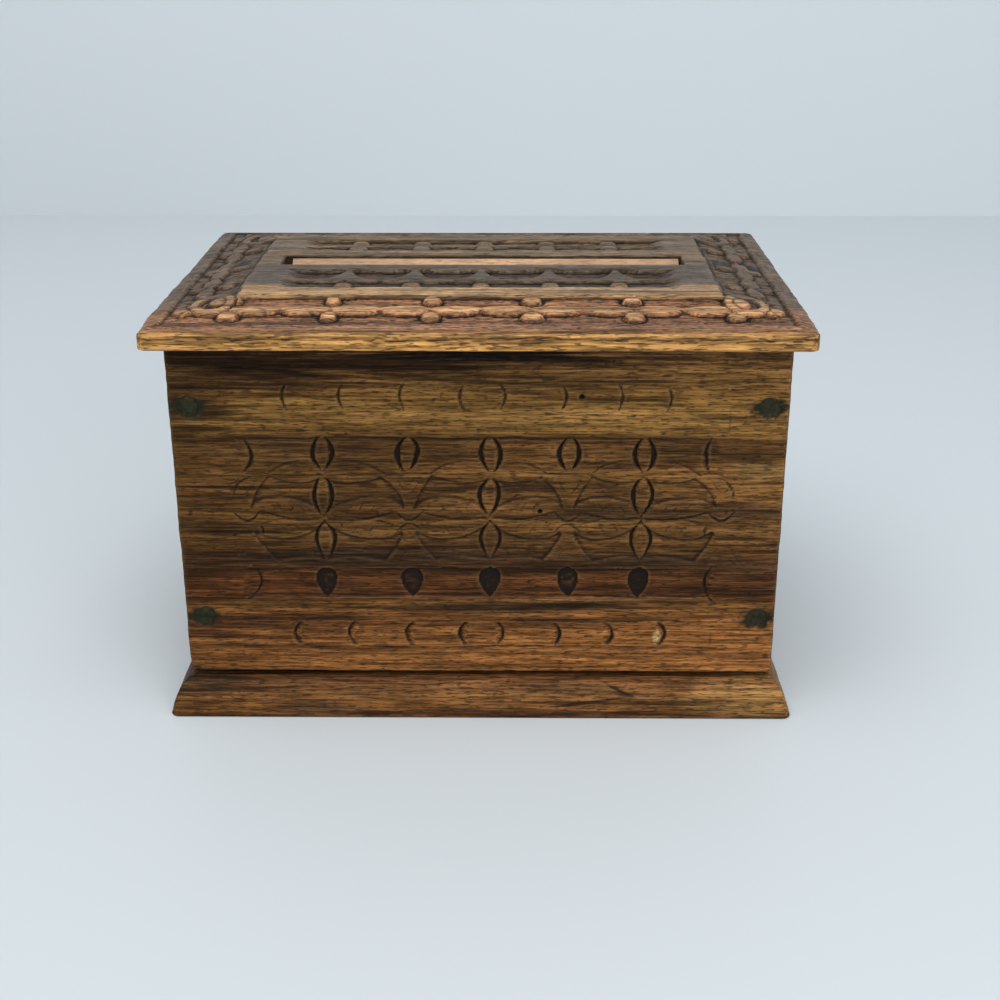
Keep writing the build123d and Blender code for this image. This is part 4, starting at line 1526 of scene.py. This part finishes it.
# Streaks: along, across, half length and half width in mm, colour, strength and lean
FRONT_STREAKS = (
    # The two darkest streaks along the top of the wall are dark heartwood with the painted shadow of the
    # lid's edge
    (-36, 91.8, 74, 6.6, HEARTWOOD_AND_LID_SHADOW, 0.95, 0.01),
    (0, 91.2, 30, 2.8, (0.0065, 0.004, 0.0025), 0.95, 0.0),
    (-50, 87.6, 25, 0.55, (0.011, 0.006, 0.0032), 0.9, -0.1),
    (-12, 87.6, 24, 2.0, (0.015, 0.0068, 0.003), 0.9, 0.03),
    (-50, 85.0, 36, 1.9, (0.024, 0.011, 0.0045), 0.85, 0.0),
    (-67, 79.5, 15, 8.5, (0.03, 0.0135, 0.005), 0.85, 0.0),
    (-58, 57.6, 16, 0.5, (0.016, 0.008, 0.004), 0.85, 0.0),
    (-56, 47.2, 18, 0.6, (0.016, 0.008, 0.004), 0.85, -0.02),
    (-26, 41.5, 48, 2.8, (0.034, 0.018, 0.009), 0.85, 0.02),
    (34, 41.0, 34, 1.9, (0.036, 0.019, 0.0095), 0.75, -0.03),
    (10, 27.9, 42, 1.9, (0.03, 0.017, 0.0085), 0.9, 0.0),
    (44, 52.2, 36, 2.3, (0.045, 0.0225, 0.0095), 0.85, 0.02),
    (66, 52.0, 15, 3.0, (0.04, 0.02, 0.0085), 0.8, 0.0),
    (64, 67.0, 12, 0.7, (0.03, 0.016, 0.007), 0.8, 0.05),
    (61, 34.0, 16, 4.0, (0.055, 0.023, 0.0085), 0.75, 0.0),
    (66, 62.0, 12, 3.0, (0.125, 0.074, 0.027), 0.75, 0.0),
    (30, 62.5, 22, 0.6, (0.028, 0.014, 0.0065), 0.7, 0.02),
    (0, 57.4, 26, 0.6, (0.02, 0.01, 0.005), 0.75, 0.0),
    # A painted shade line just above the frieze's lower step, and a painted highlight on the step
    (-6, 30.7, 60, 0.35, (0.028, 0.012, 0.0055), 0.5, 0.0),
    (26, 30.2, 24, 0.3, (0.24, 0.15, 0.075), 0.5, 0.0),
    (-46, 22.5, 34, 3.4, (0.075, 0.0285, 0.0105), 0.8, 0.0),
    (-64, 19.0, 22, 2.2, (0.07, 0.028, 0.011), 0.75, 0.0),
    (-44, 66.4, 22, 4.2, (0.115, 0.056, 0.0185), 0.6, 0.0),
    (38, 66.2, 30, 4.4, (0.05, 0.024, 0.0085), 0.45, 0.0),
    (56, 33.6, 26, 5.0, (0.042, 0.016, 0.0055), 0.65, 0.0),
    (-10, 12.8, 22, 1.3, (0.1, 0.038, 0.0125), 0.7, 0.0),
    (-50, 74.6, 24, 1.0, (0.06, 0.028, 0.01), 0.7, 0.0),
    (42.9, 20.4, 1.2, 2.5, (0.4, 0.27, 0.12), 0.9, 0.0),
)

# Colours of the end walls from the foot up, and of the lid from the front to the back
SIDE_BANDS = (
    (5, FOOT_BROWN),
    (18, FOOT_BROWN),
    (24, BROWN),
    (33, RUSSET),
    (40, UMBER),
    (47, OLIVE),
    (58, BROWN),
    (66, BROWN),
    (74, TAN),
    (84, OLIVE),
    (95, BROWN),
)
SIDE_STREAKS = (
    (-10, 62, 30, 2.4, (0.03, 0.015, 0.007), 0.85, 0.02),
    (22, 40, 26, 2.2, (0.028, 0.015, 0.007), 0.85, -0.02),
    (-25, 87, 26, 3.2, (0.022, 0.011, 0.005), 0.9, 0.05),
    (10, 28, 34, 1.2, (0.03, 0.016, 0.008), 0.8, 0.0),
)
RIM_GOLD = (0.33, 0.165, 0.048)
RIM_RED = (0.205, 0.097, 0.047)
GROUND_RED = (0.25, 0.11, 0.05)
CHAIN_TAN = (0.37, 0.2, 0.09)
RAIL_TAN = (0.32, 0.187, 0.083)
SMOKE = (0.08, 0.055, 0.037)
LID_BROWN = (0.145, 0.092, 0.048)
GREY_TAN = (0.105, 0.072, 0.045)
FLANK = (0.098, 0.062, 0.038)
UNDER_BROWN = (0.15, 0.088, 0.042)
LID_BANDS = (
    (-53.8, RIM_GOLD),
    (-52.8, RIM_GOLD),
    (-51.9, RIM_RED),
    (-46.0, RIM_RED),
    (-44.0, GROUND_RED),
    (-32.6, GROUND_RED),
    (-31.8, RAIL_TAN),
    (-23.4, RAIL_TAN),
    (-20.5, SMOKE),
    (-4.0, SMOKE),
    (2.0, LID_BROWN),
    (14.0, LID_BROWN),
    (22.0, GREY_TAN),
    (32.0, LID_BROWN),
    (46.0, GREY_TAN),
    (54.0, LID_BROWN),
)
LID_STREAKS = (
    (-20, -29, 14, 1.6, (0.2, 0.13, 0.065), 0.6, 0.0),
    (36, -28.5, 22, 1.0, (0.1, 0.085, 0.055), 0.7, 0.0),
    (10, -46.5, 60, 2.2, (0.11, 0.055, 0.042), 0.5, 0.0),
)
PLINTH_BROWN = (0.128, 0.052, 0.0145)
PLINTH_BANDS = (
    (-0.5, (0.03, 0.014, 0.007)),
    (0.6, (0.09, 0.038, 0.013)),
    (3.0, PLINTH_BROWN),
    (5.5, (0.135, 0.06, 0.019)),
    (7.5, (0.105, 0.044, 0.015)),
    (9.5, (0.085, 0.034, 0.012)),
)
KNOT = (0.012, 0.0085, 0.005)
PLINTH_STREAKS = (
    (66, 5.0, 18, 5.0, (0.22, 0.115, 0.036), 0.75, 0.0),
    (-68, 7.2, 13, 2.6, (0.045, 0.024, 0.011), 0.9, 0.04),
    (-40, 2.6, 15, 1.8, (0.05, 0.027, 0.0135), 0.8, 0.0),
    (4, 1.2, 40, 1.2, (0.045, 0.02, 0.009), 0.8, 0.0),
    (20, 6.6, 18, 1.0, (0.085, 0.042, 0.016), 0.7, 0.0),
    (33.3, 6.7, 5.0, 0.45, KNOT, 0.9, -0.4),
    (27, 3.9, 12.0, 0.4, KNOT, 0.85, 0.13),
    (35.4, 5.5, 2.6, 0.6, KNOT, 0.8, -0.1),
)


# Stage


def placed(name, data):
    """A new object in the scene."""
    made = bpy.data.objects.new(name, data)
    bpy.context.scene.collection.objects.link(made)
    return made


def area_light(name, place, size, power, color):
    """A square lamp at a place, aimed at the middle of the object, all in metres."""
    lamp = bpy.data.lights.new(name, "AREA")
    lamp.shape = "SQUARE"
    lamp.size = size
    lamp.energy = power
    lamp.color = color
    obj = placed(name, lamp)
    obj.location = place
    obj.rotation_euler = (OBJECT_MIDDLE - obj.location).to_track_quat("-Z", "Y").to_euler()


def backdrop_sheet(distance):
    """Floor and backdrop in one sheet: a flat floor, and an upright wall at the distance."""
    reach = BACKDROP_REACH
    profile = ((-reach, 0), (distance, 0), (distance, reach))
    corners = [(x, y, z) for x in (-reach, reach) for y, z in profile]
    mesh = bpy.data.meshes.new("backdrop")
    mesh.from_pydata(corners, [], [(0, 3, 4, 1), (1, 4, 5, 2)])
    return placed("backdrop", mesh)


# The stage in metres, and the colours of its light
BACKDROP_REACH = 6.0
OBJECT_MIDDLE = Vector((0, 0, 0.05))
KEY_PLACE, KEY_SIZE, KEY_COLOR = (-0.12, -0.36, 1.0), 0.9, (1.0, 0.985, 0.96)
FILL_PLACE, FILL_SIZE, FILL_COLOR = (0.45, -0.9, 0.35), 0.6, (0.95, 0.98, 1.0)
SKY_COLOR = (0.86, 0.91, 0.95, 1)

# The photograph's camera, fitted to the object's edges: its place in mm and its angles in degrees
CAMERA_PLACE = (8.54, -368.18, 184.7)
CAMERA_PITCH = 21.988
CAMERA_YAW = -0.65
CAMERA_ROLL = -0.091
FOCAL_PIXELS = 1474.13
FRAME_PIXELS = 1000
SENSOR = 36.0


def camera_matrix():
    """The camera's place, and its axes from its yaw, pitch and roll, as in a tilted tripod head."""
    pitch, yaw, roll = (math.radians(a) for a in (CAMERA_PITCH, CAMERA_YAW, CAMERA_ROLL))
    forward = Vector((math.sin(yaw) * math.cos(pitch), math.cos(yaw) * math.cos(pitch), -math.sin(pitch)))
    right = Vector((math.cos(yaw), -math.sin(yaw), 0))
    up = right.cross(forward)
    turned_right = right * math.cos(roll) + up * math.sin(roll)
    turned_up = up * math.cos(roll) - right * math.sin(roll)
    turned = Matrix((turned_right, turned_up, -forward)).transposed().to_4x4()
    turned.translation = Vector(CAMERA_PLACE) * MM
    return turned


class DISPENSER_OT_stage(bpy.types.Operator):
    """Set up the floor, the light and the camera"""

    bl_idname = "dispenser.stage"
    bl_label = "Floor, light and camera"

    def execute(self, context):
        """Makes the backdrop sheet, two lamps, the even sky and the photograph's camera."""
        scene = context.scene
        stage = scene.dispenser_stage
        floor = backdrop_sheet(stage.backdrop_distance)
        material, _, shader = new_material("pale backdrop")
        shader["Base Color"].default_value = (*stage.floor_color, 1)
        shader["Roughness"].default_value = 0.6
        floor.data.materials.append(material)
        area_light("key", KEY_PLACE, KEY_SIZE, stage.key_power, KEY_COLOR)
        area_light("front fill", FILL_PLACE, FILL_SIZE, stage.fill_power, FILL_COLOR)
        scene.world = bpy.data.worlds.new("even sky")
        scene.world.use_nodes = True
        background = scene.world.node_tree.nodes["Background"].inputs
        background["Color"].default_value = SKY_COLOR
        background["Strength"].default_value = stage.sky_strength
        scene.camera = placed("camera", bpy.data.cameras.new("camera"))
        scene.camera.data.sensor_width = SENSOR
        scene.camera.data.lens = FOCAL_PIXELS * SENSOR / FRAME_PIXELS
        scene.camera.data.clip_start = 0.01
        scene.camera.matrix_world = camera_matrix()
        scene.view_settings.view_transform = "Standard"
        return {"FINISHED"}


def take_place(piece, node, body, material):
    """Dresses a new piece, which then stands for a node and rides on a body."""
    piece.data.materials.append(material)
    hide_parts(node)
    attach(piece, body)


class DISPENSER_OT_long_walls(bpy.types.Operator):
    """Build the carved front and back walls"""

    bl_idname = "dispenser.long_walls"
    bl_label = "Carved long walls"

    def execute(self, context):
        """Makes one wall for each side and gives both the carved hardwood."""
        scene = context.scene
        for node, side, seed in (("front_wall", -1, 3), ("back_wall", 1, 61)):
            look = (node + " hardwood", FRONT_BANDS, FRONT_STREAKS, "Z", scene.dispenser_finish)
            wood = carved_hardwood(*look, shift=(3 * seed, 5 * seed, 0), ends=(0.7, 1.14))
            piece = long_wall("carved_" + node, side, scene.dispenser_carving, seed)
            take_place(piece, node, "case", wood)
        return {"FINISHED"}


class DISPENSER_OT_end_walls(bpy.types.Operator):
    """Build the carved end walls"""

    bl_idname = "dispenser.end_walls"
    bl_label = "Carved end walls"

    def execute(self, context):
        """Makes one wall for each end, with the grain along the wall."""
        scene = context.scene
        for node, side, seed in (("left_end_wall", -1, 117), ("right_end_wall", 1, 171)):
            look = (node + " hardwood", SIDE_BANDS, SIDE_STREAKS, "Z", scene.dispenser_finish)
            wood = carved_hardwood(*look, squeeze=ALONG_Y, shift=(3 * seed, 5 * seed, 0), along="Y")
            piece = end_wall("carved_" + node, side, scene.dispenser_carving, seed)
            take_place(piece, node, "case", wood)
        return {"FINISHED"}


class DISPENSER_OT_lid(bpy.types.Operator):
    """Build the carved lid"""

    bl_idname = "dispenser.lid"
    bl_label = "Carved lid"

    def execute(self, context):
        """Makes the lid board with its carved band and panel."""
        scene = context.scene
        wood = carved_hardwood(
            "lid hardwood",
            LID_BANDS,
            LID_STREAKS,
            "Y",
            scene.dispenser_finish,
            shift=(40, 70, 10),
            drift_mm=0.8,
            # Little grime and painted shade in the lid's deep hollows
            depth_grime_and_shade=0.35,
            gloss=0.1,
            zones=(("flank", FLANK), ("chain", CHAIN_TAN), ("under", UNDER_BROWN)),
        )
        piece = lid_board("carved_lid", scene.dispenser_carving, 203)
        take_place(piece, "lid", "lid", wood)
        return {"FINISHED"}


class DISPENSER_OT_pegs(bpy.types.Operator):
    """Build the dark pegs in the long walls"""

    bl_idname = "dispenser.pegs"
    bl_label = "Pegs"

    def execute(self, context):
        """Makes the four pegs of each long wall as one piece."""
        filling = peg_filling()
        for node, side, seed in (("front_wall_pegs", -1, 301), ("back_wall_pegs", 1, 331)):
            take_place(pegs("stained_" + node, side, seed), node, "case", filling)
        return {"FINISHED"}


class DISPENSER_OT_plinth(bpy.types.Operator):
    """Build the plinth board"""

    bl_idname = "dispenser.plinth"
    bl_label = "Plinth"

    def execute(self, context):
        """Makes the plinth with its curved edge and gives it its golden wood."""
        wood = carved_hardwood(
            "plinth hardwood",
            PLINTH_BANDS,
            PLINTH_STREAKS,
            "Z",
            context.scene.dispenser_finish,
            shift=(15, 30, 55),
            drift_mm=0.8,
            ends=(0.85, 1.2),
        )
        take_place(plinth_board("plinth_board", 401), "base_plate", "plinth", wood)
        return {"FINISHED"}


class DISPENSER_OT_blade(bpy.types.Operator):
    """Finish the lifter blade"""

    bl_idname = "dispenser.blade"
    bl_label = "Lifter blade"

    def execute(self, context):
        """Gives the blade its pale worn wood."""
        color = context.scene.dispenser_finish.blade
        wood = plain_wood("blade wood", color, 0.55, 0.5, (5, 5, 90), grime=0.3)
        finish_node("lifter_blade", wood, 0.4)
        return {"FINISHED"}


class DISPENSER_OT_inner_woods(bpy.types.Operator):
    """Finish the plain boards inside the case"""

    bl_idname = "dispenser.inner_woods"
    bl_label = "Inner boards"

    def execute(self, context):
        """Gives the bottom board, cheeks, hopper floors and rails their sawn wood."""
        wood = plain_wood("inner wood", context.scene.dispenser_finish.inner, 0.6, 0.62, (55, 15, 20))
        for node in INNER_NODES:
            finish_node(node, wood, 0.25)
        return {"FINISHED"}


class DISPENSER_OT_hinges(bpy.types.Operator):
    """Finish the hinges"""

    bl_idname = "dispenser.hinges"
    bl_label = "Hinges"

    def execute(self, context):
        """Gives the leaves, pins and screws of the hinges their dull brass."""
        metal = worn_metal("dull brass", context.scene.dispenser_finish.brass, (0.2, 0.12, 0.05), 0.28)
        for node in HINGE_NODES:
            finish_node(node, metal, 0.12)
        return {"FINISHED"}


class DISPENSER_OT_blade_screws(bpy.types.Operator):
    """Finish the screws of the blade"""

    bl_idname = "dispenser.blade_screws"
    bl_label = "Blade screws"

    def execute(self, context):
        """Gives the three screws from below their plain steel."""
        metal = worn_metal("plain steel", (0.42, 0.41, 0.4), (0.2, 0.17, 0.15), 0.32)
        finish_node("blade_screws", metal, 0.12)
        return {"FINISHED"}


class DISPENSER_PT_panel(bpy.types.Panel):
    """The dispenser's builders and settings"""

    bl_idname = "DISPENSER_PT_panel"
    bl_label = "Cigarette Dispenser"
    bl_space_type = "VIEW_3D"
    bl_region_type = "UI"
    bl_category = "Dispenser"

    def draw(self, context):
        """Lists the operators and the settings they read."""
        for operator in OPERATORS:
            self.layout.operator(operator.bl_idname)
        for pointer, group in SETTINGS.items():
            for name in group.__annotations__:
                self.layout.prop(getattr(context.scene, pointer), name)


OPERATORS = (
    DISPENSER_OT_stage,
    DISPENSER_OT_long_walls,
    DISPENSER_OT_end_walls,
    DISPENSER_OT_lid,
    DISPENSER_OT_pegs,
    DISPENSER_OT_plinth,
    DISPENSER_OT_blade,
    DISPENSER_OT_inner_woods,
    DISPENSER_OT_hinges,
    DISPENSER_OT_blade_screws,
)
SETTINGS = {
    "dispenser_carving": DispenserCarving,
    "dispenser_finish": DispenserFinish,
    "dispenser_stage": DispenserStage,
}


def register():
    """Registers the settings, the operators and the panel."""
    for name, group in SETTINGS.items():
        bpy.utils.register_class(group)
        setattr(bpy.types.Scene, name, bpy.props.PointerProperty(type=group))
    for operator in OPERATORS:
        bpy.utils.register_class(operator)
    bpy.utils.register_class(DISPENSER_PT_panel)


def unregister():
    """Takes back what register made."""
    bpy.utils.unregister_class(DISPENSER_PT_panel)
    for operator in reversed(OPERATORS):
        bpy.utils.unregister_class(operator)
    for name, group in SETTINGS.items():
        delattr(bpy.types.Scene, name)
        bpy.utils.unregister_class(group)


def main():
    """Builds everything in order."""
    register()
    for operator in OPERATORS:
        family, name = operator.bl_idname.split(".")
        getattr(getattr(bpy.ops, family), name)()


if __name__ == "__main__":
    main()
